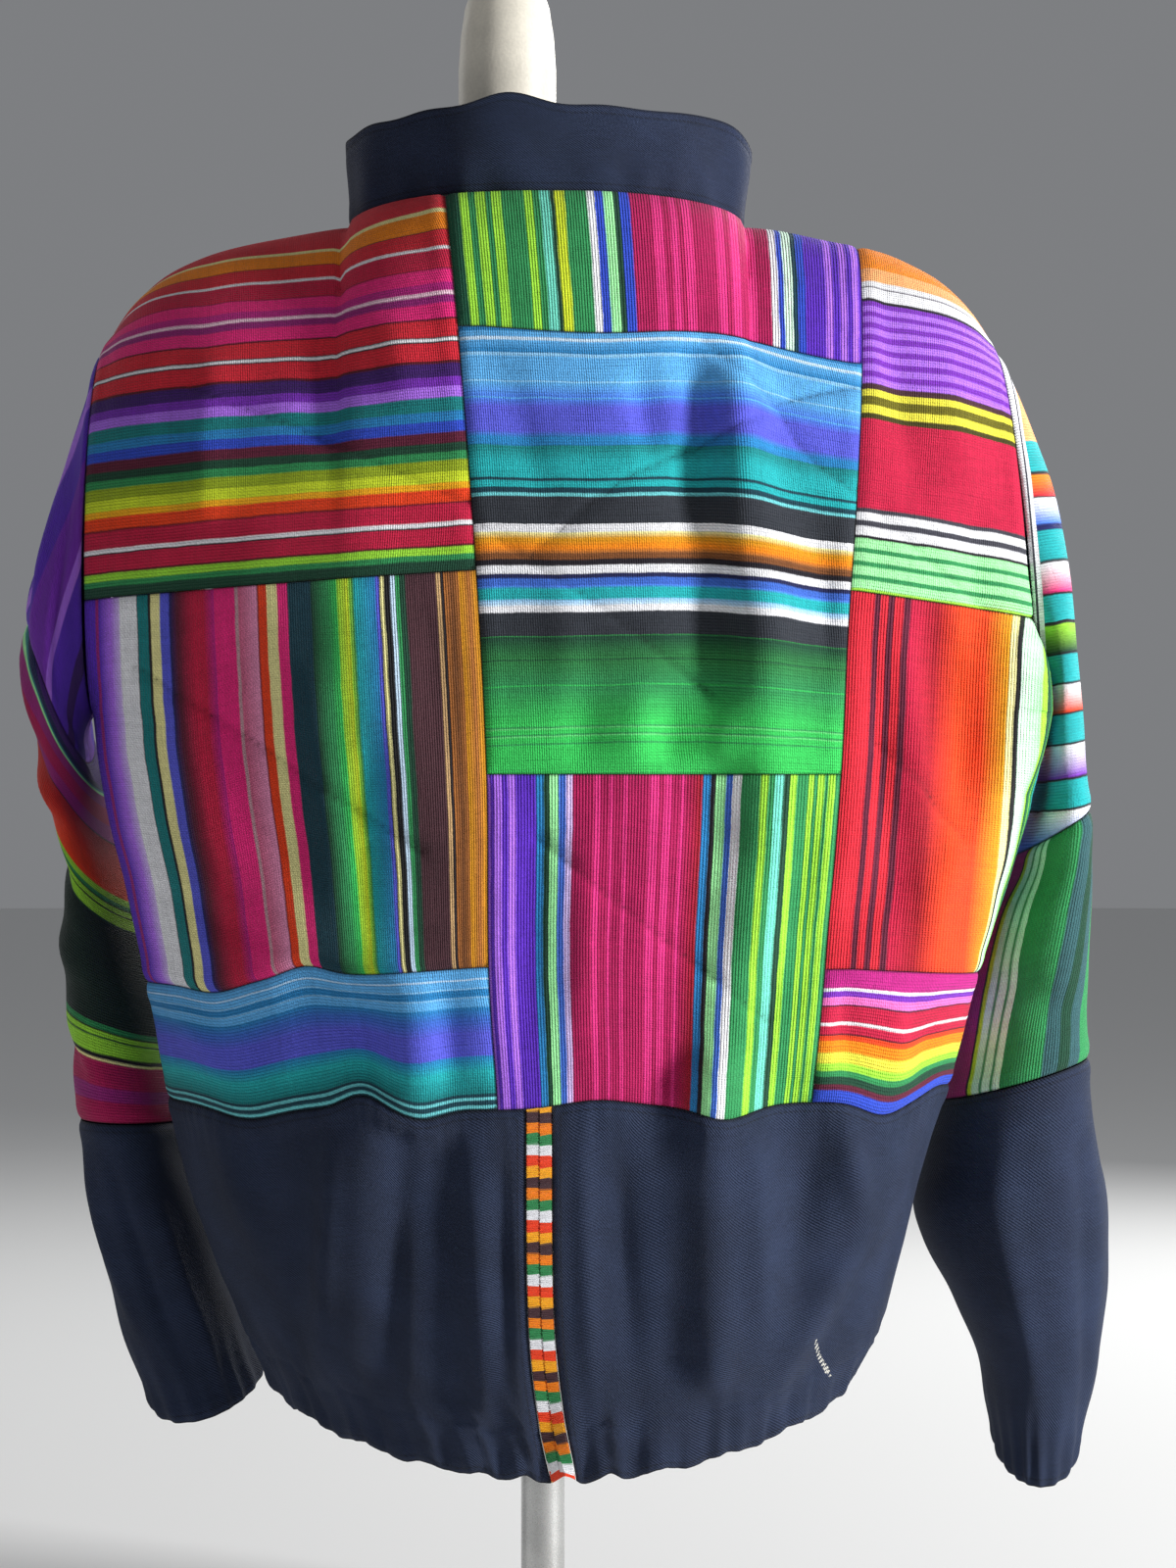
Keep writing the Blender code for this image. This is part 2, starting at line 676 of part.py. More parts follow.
def bands(looks):
    base = level(CROSS["band"], BACK_SPAN, -1)
    front = level(CROSS["front_band"], FRONT_SPAN, -1)

    def join(across):
        return lambda z: across_seam(JOIN, z) + across

    beside = JOIN_HALF + SEAM
    pieces = (
        ("band_back_left", -1, (-1, 0), (side_edge(-1), join(-beside)), base, BAND_BACK_WIDE),
        ("band_back_right", -1, (0, 1), (join(beside), side_edge(1)), base, BAND_BACK_WIDE),
        ("band_front_left", 1, (0, -1), (side_edge(-1), front_edge(-1)), front, BAND_FRONT_WIDE),
        ("band_front_right", 1, (1, 0), (front_edge(1), side_edge(1)), front, BAND_FRONT_WIDE),
    )
    for name, face, sides, edges, high, wide in pieces:
        skin = band_skin(face, edges, high)
        flats = panel_planes(skin, sides, cross_low=False)
        wall(name, skin, (round(wide / BAND_STEP), BAND_ROWS), CANVAS, looks["navy"], flats=flats)
    skin = band_skin(-1, (join(-JOIN_HALF), join(JOIN_HALF)), base)
    flats = panel_planes(skin, (0, 0), cross_low=False)
    wall("joining_stitches", skin, (2, BAND_ROWS), QUILT, looks["stitch"], flats=flats)


def zip_tapes(looks):
    """The two tapes of the closed zip, from the hem to the neck seam."""
    near = SEAM / 2
    far = ZIP_HALF - SEAM / 2
    for label, start, end in (("left", -far, -near), ("right", near, far)):
        edges = (lambda z, x=start: FRONT_MIDDLE + x, lambda z, x=end: FRONT_MIDDLE + x)
        skin = panel_skin(1, edges, (lambda x: HEM_FRONT, shoulder(1)))
        wall("zip_tape_" + label, skin, (1, ZIP_ROWS), TAPE, looks["tape"])


def ring_frame(ring):
    """Middle of a sleeve ring, its direction towards the outer end, and its half width."""
    outer = Vector((ring.out_x, ring.forward, ring.out_z))
    inner = Vector((ring.in_x, ring.forward, ring.in_z))
    reach = (outer - inner) / 2
    side = ring.lean * ring.half_depth
    return (outer + inner) / 2, reach.normalized(), math.sqrt(reach.length ** 2 - side ** 2)


def ring_point(ring, turn):
    """A point of a sleeve ring: 0 is its outer end, a quarter turn its back."""
    middle, out, half = ring_frame(ring)
    back = math.sin(turn)
    point = middle + out * (half * math.cos(turn) + ring.lean * ring.half_depth * back)
    point.y -= ring.half_depth * back
    point.z -= ring.drop * back
    return point


def ring_plane(ring):
    return ring_frame(ring)[1].cross(Vector((0.0, 1.0, 0.0)))


def sleeve_skin(rings, first, last, mirror):
    """A tube through some of the sleeve's rings."""
    def skin(p, q):
        run = first + (last - first) * (1 - q)
        i = int(clamp(math.floor(run), 0, len(rings) - 2))
        t = run - i
        turn = math.tau * (p if not mirror else -p)
        near = [rings[int(clamp(k, 0, len(rings) - 1))] for k in (i - 1, i, i + 1, i + 2)]
        a, b, c, d = (ring_point(ring, turn) for ring in near)
        return (b * 2 + (c - a) * t + (a * 2 - b * 5 + c * 4 - d) * t * t
                + (b * 3 - a - c * 3 + d) * t ** 3) / 2
    return skin


def sleeve_planes(rings, first, last):
    """The plane of each ring, in which the cloth's thickness is laid."""
    def flats(p, q):
        run = first + (last - first) * (1 - q)
        return (ring_plane(rings[int(clamp(round(run), 0, len(rings) - 1))]),)
    return flats


def sleeves(looks):
    plans = (
        ("left", LEFT_SLEEVE, LEFT_SPANS, False),
        ("right", RIGHT_SLEEVE, RIGHT_SPANS, True),
    )
    for label, rings, spans, mirror in plans:
        for span in spans:
            start = span.first + SLEEVE_GAP
            end = span.last if span.last == len(rings) - 1 else span.last - SLEEVE_GAP
            skin = sleeve_skin(rings, start, end, mirror)
            flats = sleeve_planes(rings, start, end)
            thickness = CANVAS if span.name == "lower" else QUILT
            rows = max(4, round(span.last - span.first))
            title = "sleeve_" + label + "_" + span.name
            wall(title, skin, (SLEEVE_SIDES, rows), thickness, looks[title], closed=True,
                 flats=flats, press=lambda point: pressed(point, SLEEVE_PRESS))


def collar_skin(p, q):
    """The stand collar, from one front end round the back to the other."""
    turn = math.pi - COLLAR_GAP - (math.tau - 2 * COLLAR_GAP) * p
    across = math.sin(-turn)
    x = NECK_SHIFT + NECK_HALF * across
    face = -1 if math.cos(turn) > 0 else 1
    ring = abs(math.cos(turn))
    y = face * (NECK_BACK if face < 0 else NECK_FRONT) * ring
    base = top_height(face, x) + SEAM * 2 + (COLLAR_EASE * ring if face > 0 else 0.0)
    blend = (1 + math.cos(turn)) / 2
    tall = COLLAR_FRONT + (COLLAR_BACK - COLLAR_FRONT) * blend
    wavy = COLLAR_WAVE * math.sin(5 * turn + 0.6) + COLLAR_RIPPLE * math.sin(9 * turn)
    end = clamp(min(p, 1 - p) / COLLAR_CORNER)
    low_end = COLLAR_CORNER_HEIGHT
    tall = (tall + wavy) * (low_end + (1 - low_end) * math.sqrt(1 - (1 - end) ** 2))
    lean = COLLAR_LEAN * q * (1.0 + 0.6 * math.sin(3 * turn + 1.0))
    out = Vector((across, face * ring, 0.0)).normalized()
    return Vector((x, y, base + tall * q)) + out * lean


def collar(looks):
    wall("collar", collar_skin, (COLLAR_STEPS, COLLAR_ROWS), QUILT, looks["collar"])


def join_boxes(name, boxes, look):
    """One solid from overlapping boxes: (size, centre) pairs."""
    pieces = []
    for size, centre in boxes:
        mesh = bmesh.new()
        bmesh.ops.create_cube(mesh, size=1.0)
        bmesh.ops.scale(mesh, vec=size, verts=mesh.verts)
        bmesh.ops.translate(mesh, vec=centre, verts=mesh.verts)
        data = bpy.data.meshes.new(name)
        mesh.to_mesh(data)
        mesh.free()
        pieces.append(place(name if not pieces else name + "_cutter", data, look))
    first = pieces[0]
    for other in pieces[1:]:
        bpy.data.collections[PART].objects.unlink(other)
        bpy.data.collections["cutters"].objects.link(other)
        other.hide_render = True
        other.display_type = "WIRE"
        union = first.modifiers.new("union", "BOOLEAN")
        union.operation = "UNION"
        union.object = other
    return first


def zip_slider(looks):
    """Slider with its bridge, and the pull tab whose bar turns under the bridge."""
    top = top_height(1, FRONT_MIDDLE) - SLIDER_DROP
    low = top - SLIDER_LENGTH
    high_point = cloth_point(1, FRONT_MIDDLE, top)
    low_point = cloth_point(1, FRONT_MIDDLE, low)
    along = (high_point - low_point).normalized()
    out = Vector((0.0, along.z, -along.y))
    frame = Matrix((Vector((1, 0, 0)), out, along)).transposed().to_4x4()
    middle = (high_point + low_point) / 2
    frame.translation = middle + out * (SEAM + SLIDER_DEPTH / 2 - SLIDER_SINK)

    arm = BRIDGE_WIRE * 2
    thin = arm * 0.98
    face = SLIDER_DEPTH / 2
    post = face + BRIDGE_HEIGHT / 2 - BRIDGE_SINK
    roof = face + BRIDGE_HEIGHT - BRIDGE_SINK - arm * 0.01
    slider = join_boxes("zip_slider", (
        ((SLIDER_WIDTH, SLIDER_DEPTH, SLIDER_LENGTH), (0, 0, 0)),
        ((arm, BRIDGE_HEIGHT, arm), (0, post, BRIDGE_LENGTH / 2)),
        ((arm, BRIDGE_HEIGHT, arm), (0, post, -BRIDGE_LENGTH / 2)),
        ((thin, arm, BRIDGE_LENGTH + thin), (0, roof, 0)),
    ), looks["metal"])
    slider.matrix_world = frame
    for cutter in bpy.data.collections["cutters"].objects:
        if cutter.name.startswith("zip_slider"):
            cutter.matrix_world = frame

    axis = Vector((0, face + TAB_LIFT, 0))
    tab_frame = frame.copy()
    tab_frame.translation = frame @ axis
    flat = bpy.data.curves.new("pull_tab", "CURVE")
    flat.dimensions = "2D"
    flat.fill_mode = "BOTH"
    flat.extrude = TAB_DEPTH / 2
    half = TAB_WIDTH / 2
    eye = TAB_EYE_WIDTH / 2
    top_bar = TAB_BAR / 2
    corner = TAB_WIDTH * TAB_CORNER
    end = top_bar - TAB_LENGTH
    outline = ((-half, top_bar), (half, top_bar), (half, end + corner), (half - corner, end),
               (corner - half, end), (-half, end + corner))
    hole_low = -top_bar - TAB_EYE_LENGTH
    hole = ((-eye, -top_bar), (eye, -top_bar), (eye, hole_low), (-eye, hole_low))
    for points in (outline, hole):
        line = flat.splines.new("POLY")
        line.points.add(len(points) - 1)
        for spot, (x, z) in zip(line.points, points):
            spot.co = (x, z, 0.0, 1.0)
        line.use_cyclic_u = True
    guide = bpy.data.objects.new("pull_tab_outline", flat)
    bpy.data.collections["cutters"].objects.link(guide)
    bpy.context.view_layer.update()
    data = bpy.data.meshes.new_from_object(guide.evaluated_get(bpy.context.evaluated_depsgraph_get()))
    bpy.data.objects.remove(guide)
    mesh = bmesh.new()
    mesh.from_mesh(data)
    bmesh.ops.remove_doubles(mesh, verts=mesh.verts, dist=0.00001)
    bmesh.ops.recalc_face_normals(mesh, faces=mesh.faces)
    mesh.to_mesh(data)
    mesh.free()
    tab = place("zip_pull_tab", data, looks["metal"])
    upright = Matrix.Rotation(math.radians(90), 4, "X")
    tab.matrix_world = tab_frame @ upright


def torso_skin(p, q):
    """The form's torso by its girths, p round it and q up it."""
    turn = math.tau * p
    row = q * (len(TORSO) - 1)
    i = min(int(row), len(TORSO) - 2)
    z = TORSO[i].height + (TORSO[i + 1].height - TORSO[i].height) * (row - i)
    width = read(TORSO, "height", z, "half_width")
    depth = read(TORSO, "height", z, "half_depth")
    forward = read(TORSO, "height", z, "forward")
    lean = clamp((z - NECK_LEAN_START) / NECK_LEAN_RISE)
    centre = FORM_X + (KNOB_X - FORM_X) * lean
    return Vector((centre + width * math.sin(turn), forward - depth * math.cos(turn), z))


def torso(looks):
    mesh = bmesh.new()
    rows = []
    levels = len(TORSO) - 1
    for j in range(levels + 1):
        ring = [torso_skin(i / TORSO_SIDES, j / levels) for i in range(TORSO_SIDES)]
        rows.append([mesh.verts.new(point) for point in ring])
    for low, high in zip(rows, rows[1:]):
        for i in range(TORSO_SIDES):
            k = (i + 1) % TORSO_SIDES
            mesh.faces.new((low[i], low[k], high[k], high[i]))
    mesh.faces.new(list(reversed(rows[0])))
    mesh.faces.new(rows[-1])
    bmesh.ops.recalc_face_normals(mesh, faces=mesh.faces)
    data = bpy.data.meshes.new("form_torso")
    mesh.to_mesh(data)
    mesh.free()
    place("form_torso", data, looks["form"])


def turned(name, profile, centre, sides, look):
    """A turned solid from a profile that runs down its outer side."""
    mesh = bmesh.new()
    spots = [mesh.verts.new((turn.radius, 0.0, turn.height)) for turn in profile]
    for a, b in zip(spots, spots[1:]):
        mesh.edges.new((a, b))
    data = bpy.data.meshes.new(name)
    mesh.to_mesh(data)
    mesh.free()
    piece = place(name, data, look)
    screw = piece.modifiers.new("turn", "SCREW")
    screw.axis = "Z"
    screw.steps = sides
    screw.render_steps = sides
    screw.use_merge_vertices = True
    screw.merge_threshold = 0.00005
    screw.use_normal_calculate = False
    piece.location = centre
    return piece


def stand(looks):
    turned("form_neck_knob", KNOB, (KNOB_X, TORSO[-1].forward, 0.0), KNOB_SIDES, looks["form"])
    foot = TORSO[0].height - SEAM
    pole = (Turn(0.0, foot), Turn(POLE_RADIUS, foot), Turn(POLE_RADIUS, BASE_HEIGHT + SEAM),
            Turn(0.0, BASE_HEIGHT + SEAM))
    turned("form_pole", pole, (FORM_X, 0.0, 0.0), POLE_SIDES, looks["pole"])
    base = (Turn(0.0, BASE_HEIGHT), Turn(BASE_RADIUS - BASE_EDGE * 2, BASE_HEIGHT),
            Turn(BASE_RADIUS, BASE_HEIGHT - BASE_EDGE), Turn(BASE_RADIUS, BASE_EDGE / 2),
            Turn(BASE_RADIUS - BASE_EDGE / 2, 0.0), Turn(0.0, 0.0))
    turned("form_base", base, (CENTRE_X, 0.0, 0.0), BASE_SIDES, looks["base"])


def looks():
    """Each piece's colour and finish."""
    cloth = {
        "left_upper": (0.52, 0.09, 0.10),
        "left_middle": (0.45, 0.33, 0.42),
        "left_lower": (0.22, 0.42, 0.62),
        "middle_upper": (0.25, 0.42, 0.28),
        "middle_middle": (0.16, 0.40, 0.52),
        "middle_lower": (0.30, 0.32, 0.40),
        "right_upper": (0.48, 0.16, 0.26),
        "right_middle": (0.62, 0.16, 0.08),
        "right_lower": (0.60, 0.10, 0.22),
        "front_upper": (0.52, 0.09, 0.10),
        "front_middle": (0.20, 0.40, 0.50),
        "front_lower": (0.45, 0.33, 0.42),
        "sleeve_left_upper": (0.30, 0.18, 0.40),
        "sleeve_left_middle": (0.42, 0.30, 0.16),
        "sleeve_right_upper": (0.14, 0.48, 0.50),
        "sleeve_right_middle": (0.10, 0.30, 0.16),
    }
    made = {name: material(name, colour, 0.85) for name, colour in cloth.items()}
    navy = material("navy_canvas", (0.030, 0.036, 0.062), 0.82)
    made["navy"] = navy
    made["sleeve_left_lower"] = navy
    made["sleeve_right_lower"] = navy
    made["collar"] = navy
    made["stitch"] = material("satin_stitch", (0.70, 0.30, 0.12), 0.5)
    made["tape"] = material("zip_tape", (0.025, 0.030, 0.050), 0.8)
    made["metal"] = material("zip_metal", (0.55, 0.50, 0.40), 0.35, 1.0)
    made["form"] = material("form_cover", (0.84, 0.79, 0.69), 0.42)
    made["pole"] = material("form_pole", (0.60, 0.60, 0.60), 0.3, 1.0)
    made["base"] = material("form_base", (0.80, 0.76, 0.68), 0.5)
    return made


def settle():
    """Move every piece so that the whole part stands over the origin."""
    offset = Matrix.Translation((-CENTRE_X, 0.0, 0.0))
    for name in (PART, "cutters"):
        for piece in bpy.data.collections[name].objects:
            piece.matrix_world = offset @ piece.matrix_world


def main():
    for piece in list(bpy.data.objects):
        bpy.data.objects.remove(piece)
    for name in (PART, "cutters"):
        bpy.context.scene.collection.children.link(bpy.data.collections.new(name))
    finishes = looks()
    back_patches(finishes)
    front_panels(finishes)
    bands(finishes)
    zip_tapes(finishes)
    sleeves(finishes)
    collar(finishes)
    torso(finishes)
    stand(finishes)
    zip_slider(finishes)
    settle()


main()
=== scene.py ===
"""Look of the quilted patchwork jacket on its dress form.

Each piece of cloth is laid on the form of its CAD solid, with its sewing, creases and weave.
The back of the jacket faces -Y. Run it as a script inside Blender.
"""

import math
from collections import namedtuple

import bpy
import numpy as np
from bpy.props import FloatProperty, FloatVectorProperty, PointerProperty
from bpy.types import Operator, Panel, PropertyGroup
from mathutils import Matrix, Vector


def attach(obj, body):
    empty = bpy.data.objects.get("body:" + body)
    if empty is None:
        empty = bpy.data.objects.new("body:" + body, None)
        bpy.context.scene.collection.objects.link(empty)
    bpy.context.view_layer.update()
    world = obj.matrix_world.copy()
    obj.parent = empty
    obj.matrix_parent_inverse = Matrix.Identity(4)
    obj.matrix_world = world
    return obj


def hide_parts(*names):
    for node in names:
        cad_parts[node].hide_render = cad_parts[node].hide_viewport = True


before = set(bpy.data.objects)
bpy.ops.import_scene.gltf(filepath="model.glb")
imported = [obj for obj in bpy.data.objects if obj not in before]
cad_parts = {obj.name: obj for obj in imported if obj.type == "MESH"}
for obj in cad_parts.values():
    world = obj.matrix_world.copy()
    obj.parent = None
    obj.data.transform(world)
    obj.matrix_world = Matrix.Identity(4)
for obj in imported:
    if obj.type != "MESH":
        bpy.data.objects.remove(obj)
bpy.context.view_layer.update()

bl_info = {
    "name": "Patchwork jacket",
    "version": (1, 0, 0),
    "blender": (4, 5, 0),
    "location": "3D View > Sidebar > Jacket",
    "description": "Builds the cloth, sewing and stage of a quilted patchwork jacket",
    "category": "Object",
}

BODY_NAME = "jacket_and_form"

# Cloth: the zip's tape, the gap at a seam, and how rows crowd at the shoulder
TAPE = 0.0012
SEAM = 0.0003
CROWD = 1.35

# Middle of the whole part, so that it stands over the origin
CENTRE_X = 0.018

# Body of the jacket: sections from the hem up to the underarm
Section = namedtuple("Section", "height shift half_width back front")
BODY = (
    Section(0.131, 0.010, 0.146, 0.098, 0.085),
    Section(0.171, 0.011, 0.158, 0.113, 0.098),
    Section(0.198, 0.012, 0.172, 0.123, 0.107),
    Section(0.241, 0.009, 0.188, 0.131, 0.113),
    Section(0.293, 0.0065, 0.2036, 0.135, 0.116),
    Section(0.336, 0.0095, 0.2149, 0.135, 0.117),
    Section(0.390, 0.0113, 0.2273, 0.135, 0.118),
    Section(0.444, 0.0140, 0.2420, 0.135, 0.120),
    Section(0.488, 0.0145, 0.2530, 0.135, 0.122),
    Section(0.538, 0.01125, 0.25675, 0.135, 0.123),
)
BACK_FULLNESS = 2.35
FRONT_PINCH = 0.70
PINCH_TOP = 0.560
PINCH_FADE = 0.080
UNDERARM = 0.538
SHOULDER_TIP = 0.735
TIP_SHIFT = 0.0045
TIP_HALF_WIDTH = 0.2455
ARMHOLE_DEPTH = 0.070
SHOULDER_ROUND = 2.6

# Shoulder line, by the distance from the middle of the neck
Slope = namedtuple("Slope", "out height")
SHOULDER = (
    Slope(0.000, 0.803),
    Slope(0.108, 0.803),
    Slope(0.152, 0.796),
    Slope(0.180, 0.790),
    Slope(0.200, 0.782),
    Slope(0.215, 0.773),
    Slope(0.230, 0.758),
    Slope(0.2455, 0.735),
)
NECK_SHIFT = 0.003
NECK_HALF = 0.108
NECK_BACK = 0.076
NECK_FRONT = 0.086
NECK_RISE = 0.010
NECK_DIP = 0.048

# Hem: lowest in the middle of the back, higher at the sides
HEM = 0.131
HEM_SIDE = 0.168
HEM_FRONT = 0.171

# Gathers of the lower band
GATHERS = 26
GATHER_DEPTH = 0.0030
GATHER_DROP = 0.0028
GATHER_HEIGHT = 0.075
GATHER_FADE = 0.020

# Seams that run up the back, as places across at a height
Seam = namedtuple("Seam", "height across")
LEFT_SEAM = (
    Seam(0.131, -0.012),
    Seam(0.331, -0.021),
    Seam(0.401, -0.0255),
    Seam(0.501, -0.0265),
    Seam(0.608, -0.032),
    Seam(0.736, -0.042),
    Seam(0.820, -0.051),
)
RIGHT_SEAM = (
    Seam(0.131, 0.120),
    Seam(0.332, 0.1435),
    Seam(0.502, 0.158),
    Seam(0.580, 0.162),
    Seam(0.650, 0.167),
    Seam(0.720, 0.171),
    Seam(0.820, 0.174),
)
JOIN = (
    Seam(0.120, 0.0145),
    Seam(0.131, 0.013),
    Seam(0.165, 0.0066),
    Seam(0.220, 0.0015),
    Seam(0.331, 0.0005),
    Seam(0.350, 0.0005),
)
JOIN_HALF = 0.0066

# Columns of the back, by the places between which their cross seams slope
Column = namedtuple("Column", "name start end")
COLUMNS = (
    Column("left", -0.245, -0.030),
    Column("middle", -0.030, 0.165),
    Column("right", 0.165, 0.270),
)
BACK_SPAN = (-0.245, 0.270)

# Rows of the front, by the seams under and over them
Row = namedtuple("Row", "name under over")
FRONT_ROWS = (
    Row("lower", "front_band", "front_low"),
    Row("middle", "front_low", "front_high"),
    Row("upper", "front_high", None),
)
FRONT_SPAN = (-0.300, 0.300)

# Seams that run across, as heights at the two ends of each patch
Cross = namedtuple("Cross", "left right")
CROSS = {
    "band": Cross(0.327, 0.332),
    "left_low": Cross(0.388, 0.403),
    "left_high": Cross(0.596, 0.609),
    "middle_low": Cross(0.503, 0.503),
    "middle_high": Cross(0.737, 0.720),
    "right_low": Cross(0.401, 0.393),
    "right_high": Cross(0.599, 0.586),
    "front_low": Cross(0.452, 0.452),
    "front_high": Cross(0.610, 0.610),
    "front_band": Cross(0.327, 0.327),
}

# Where the sewn seams of the back sway up or down
Bump = namedtuple("Bump", "x spread rise")
SWAY = {
    CROSS["band"]: (
        Bump(-0.153, 0.022, -0.0066), Bump(-0.092, 0.014, 0.0078), Bump(-0.060, 0.014, -0.0046),
        Bump(0.032, 0.026, 0.0046), Bump(0.098, 0.018, -0.0062), Bump(0.183, 0.016, -0.0084),
        Bump(0.216, 0.010, 0.0040),
    ),
    CROSS["left_low"]: (Bump(-0.172, 0.018, -0.0054), Bump(-0.122, 0.016, 0.0060)),
    CROSS["middle_high"]: (Bump(0.092, 0.048, 0.0080),),
}

# Largest folds: soft troughs (depth below zero) and ridges on the cloth
Fold = namedtuple("Fold", "face x0 z0 x1 z1 spread depth")
FOLDS = (
    Fold(-1, 0.074, 0.700, 0.092, 0.490, 0.020, -0.006),
    Fold(-1, 0.106, 0.705, 0.120, 0.500, 0.017, 0.007),
    Fold(-1, 0.088, 0.470, 0.068, 0.350, 0.018, -0.005),
    Fold(-1, 0.118, 0.470, 0.097, 0.350, 0.016, 0.006),
    Fold(-1, 0.200, 0.460, 0.125, 0.390, 0.018, -0.006),
    Fold(-1, 0.205, 0.574, 0.226, 0.475, 0.014, -0.004),
    Fold(-1, 0.092, 0.345, 0.094, 0.190, 0.014, 0.009),
    Fold(-1, -0.190, 0.712, -0.194, 0.650, 0.012, -0.003),
    Fold(-1, -0.176, 0.715, -0.180, 0.640, 0.012, 0.004),
    Fold(-1, -0.118, 0.392, -0.116, 0.330, 0.018, -0.004),
    Fold(-1, -0.070, 0.392, -0.066, 0.330, 0.016, 0.005),
    Fold(-1, 0.130, 0.335, 0.150, 0.250, 0.020, -0.011),
    Fold(-1, 0.064, 0.320, 0.072, 0.200, 0.014, -0.006),
    Fold(-1, -0.090, 0.320, -0.105, 0.190, 0.018, 0.005),
    Fold(-1, -0.050, 0.300, -0.045, 0.180, 0.014, -0.004),
    Fold(-1, -0.140, 0.310, -0.135, 0.200, 0.016, -0.005),
    Fold(-1, -0.190, 0.600, -0.130, 0.470, 0.026, -0.005),
    Fold(-1, -0.100, 0.640, -0.070, 0.500, 0.030, 0.004),
    Fold(1, -0.120, 0.600, -0.090, 0.420, 0.028, -0.007),
    Fold(1, 0.120, 0.590, 0.085, 0.400, 0.028, -0.007),
    Fold(1, -0.070, 0.330, -0.076, 0.200, 0.016, 0.006),
    Fold(1, 0.080, 0.330, 0.070, 0.200, 0.016, 0.006),
    Fold(1, 0.125, 0.320, 0.118, 0.220, 0.015, -0.005),
    Fold(1, -0.115, 0.320, -0.125, 0.220, 0.015, -0.005),
)

# Sleeves: rings from the armhole to the cuff, by their outer and inner ends
Ring = namedtuple("Ring", "out_x out_z in_x in_z forward half_depth lean drop")
LEFT_SLEEVE = (
    Ring(-0.2415, 0.7350, -0.2460, 0.5380, 0.000, 0.0700, 0.00, 0.0),
    Ring(-0.2510, 0.7000, -0.2490, 0.5340, 0.000, 0.0705, 0.00, 0.0),
    Ring(-0.2625, 0.6640, -0.2510, 0.5280, 0.001, 0.0710, 0.01, 0.0),
    Ring(-0.2730, 0.6280, -0.2520, 0.5200, 0.004, 0.0715, 0.03, 0.0),
    Ring(-0.2795, 0.5900, -0.2505, 0.5100, 0.010, 0.0715, 0.07, 0.0),
    Ring(-0.2805, 0.5520, -0.2460, 0.4980, 0.019, 0.0705, 0.12, 0.0),
    Ring(-0.2765, 0.5220, -0.2390, 0.4840, 0.029, 0.0690, 0.18, 0.0),
    Ring(-0.2695, 0.4940, -0.2300, 0.4670, 0.037, 0.0675, 0.23, 0.0),
    Ring(-0.2640, 0.4620, -0.2200, 0.4470, 0.043, 0.0660, 0.25, 0.0),
    Ring(-0.2625, 0.4280, -0.2110, 0.4200, 0.047, 0.0645, 0.25, 0.0),
    Ring(-0.2635, 0.3850, -0.2030, 0.3800, 0.049, 0.0610, 0.22, 0.0),
    Ring(-0.2620, 0.3500, -0.1990, 0.3460, 0.048, 0.0590, 0.20, 0.0),
    Ring(-0.2575, 0.3120, -0.1940, 0.3100, 0.047, 0.0560, 0.16, 0.0),
    Ring(-0.2540, 0.2750, -0.1880, 0.2760, 0.046, 0.0530, 0.12, 0.0),
    Ring(-0.2490, 0.2450, -0.1820, 0.2500, 0.045, 0.0500, 0.08, 0.0),
    Ring(-0.2415, 0.2150, -0.1750, 0.2230, 0.043, 0.0470, 0.05, 0.002),
    Ring(-0.2340, 0.1880, -0.1670, 0.1990, 0.041, 0.0450, 0.00, 0.005),
    Ring(-0.2250, 0.1680, -0.1610, 0.1810, 0.039, 0.0430, 0.00, 0.009),
    Ring(-0.2170, 0.1530, -0.1560, 0.1690, 0.037, 0.0420, 0.00, 0.013),
)
RIGHT_SLEEVE = (
    Ring(0.2505, 0.7350, 0.2685, 0.5380, 0.000, 0.0700, 0.00, 0.0),
    Ring(0.2625, 0.7080, 0.2720, 0.5340, 0.000, 0.0705, 0.00, 0.0),
    Ring(0.2750, 0.6770, 0.2740, 0.5280, 0.001, 0.0710, 0.01, 0.0),
    Ring(0.2845, 0.6430, 0.2750, 0.5200, 0.004, 0.0715, 0.03, 0.0),
    Ring(0.2905, 0.6000, 0.2748, 0.5060, 0.010, 0.0715, 0.07, 0.0),
    Ring(0.2950, 0.5580, 0.2725, 0.4900, 0.019, 0.0705, 0.12, 0.0),
    Ring(0.2980, 0.5220, 0.2670, 0.4730, 0.029, 0.0690, 0.18, 0.0),
    Ring(0.3010, 0.4900, 0.2585, 0.4570, 0.037, 0.0675, 0.23, 0.0),
    Ring(0.3030, 0.4600, 0.2490, 0.4410, 0.043, 0.0660, 0.25, 0.0),
    Ring(0.3040, 0.4250, 0.2370, 0.4200, 0.047, 0.0645, 0.25, 0.0),
    Ring(0.3040, 0.3920, 0.2290, 0.3780, 0.049, 0.0620, 0.22, 0.0),
    Ring(0.3045, 0.3600, 0.2220, 0.3320, 0.048, 0.0590, 0.20, 0.0),
    Ring(0.3070, 0.3250, 0.2160, 0.3060, 0.047, 0.0570, 0.16, 0.0),
    Ring(0.3110, 0.2950, 0.2120, 0.2840, 0.046, 0.0550, 0.12, 0.0),
    Ring(0.3160, 0.2660, 0.2090, 0.2630, 0.045, 0.0530, 0.08, 0.0),
    Ring(0.3165, 0.2400, 0.2150, 0.2420, 0.043, 0.0500, 0.05, 0.0),
    Ring(0.3150, 0.2080, 0.2310, 0.2110, 0.041, 0.0470, 0.00, 0.002),
    Ring(0.3110, 0.1760, 0.2440, 0.1800, 0.038, 0.0440, 0.00, 0.005),
    Ring(0.3035, 0.1480, 0.2490, 0.1520, 0.035, 0.0410, 0.00, 0.010),
    Ring(0.2975, 0.1280, 0.2540, 0.1270, 0.032, 0.0390, 0.00, 0.016),
)
SLEEVE_GAP = 0.012

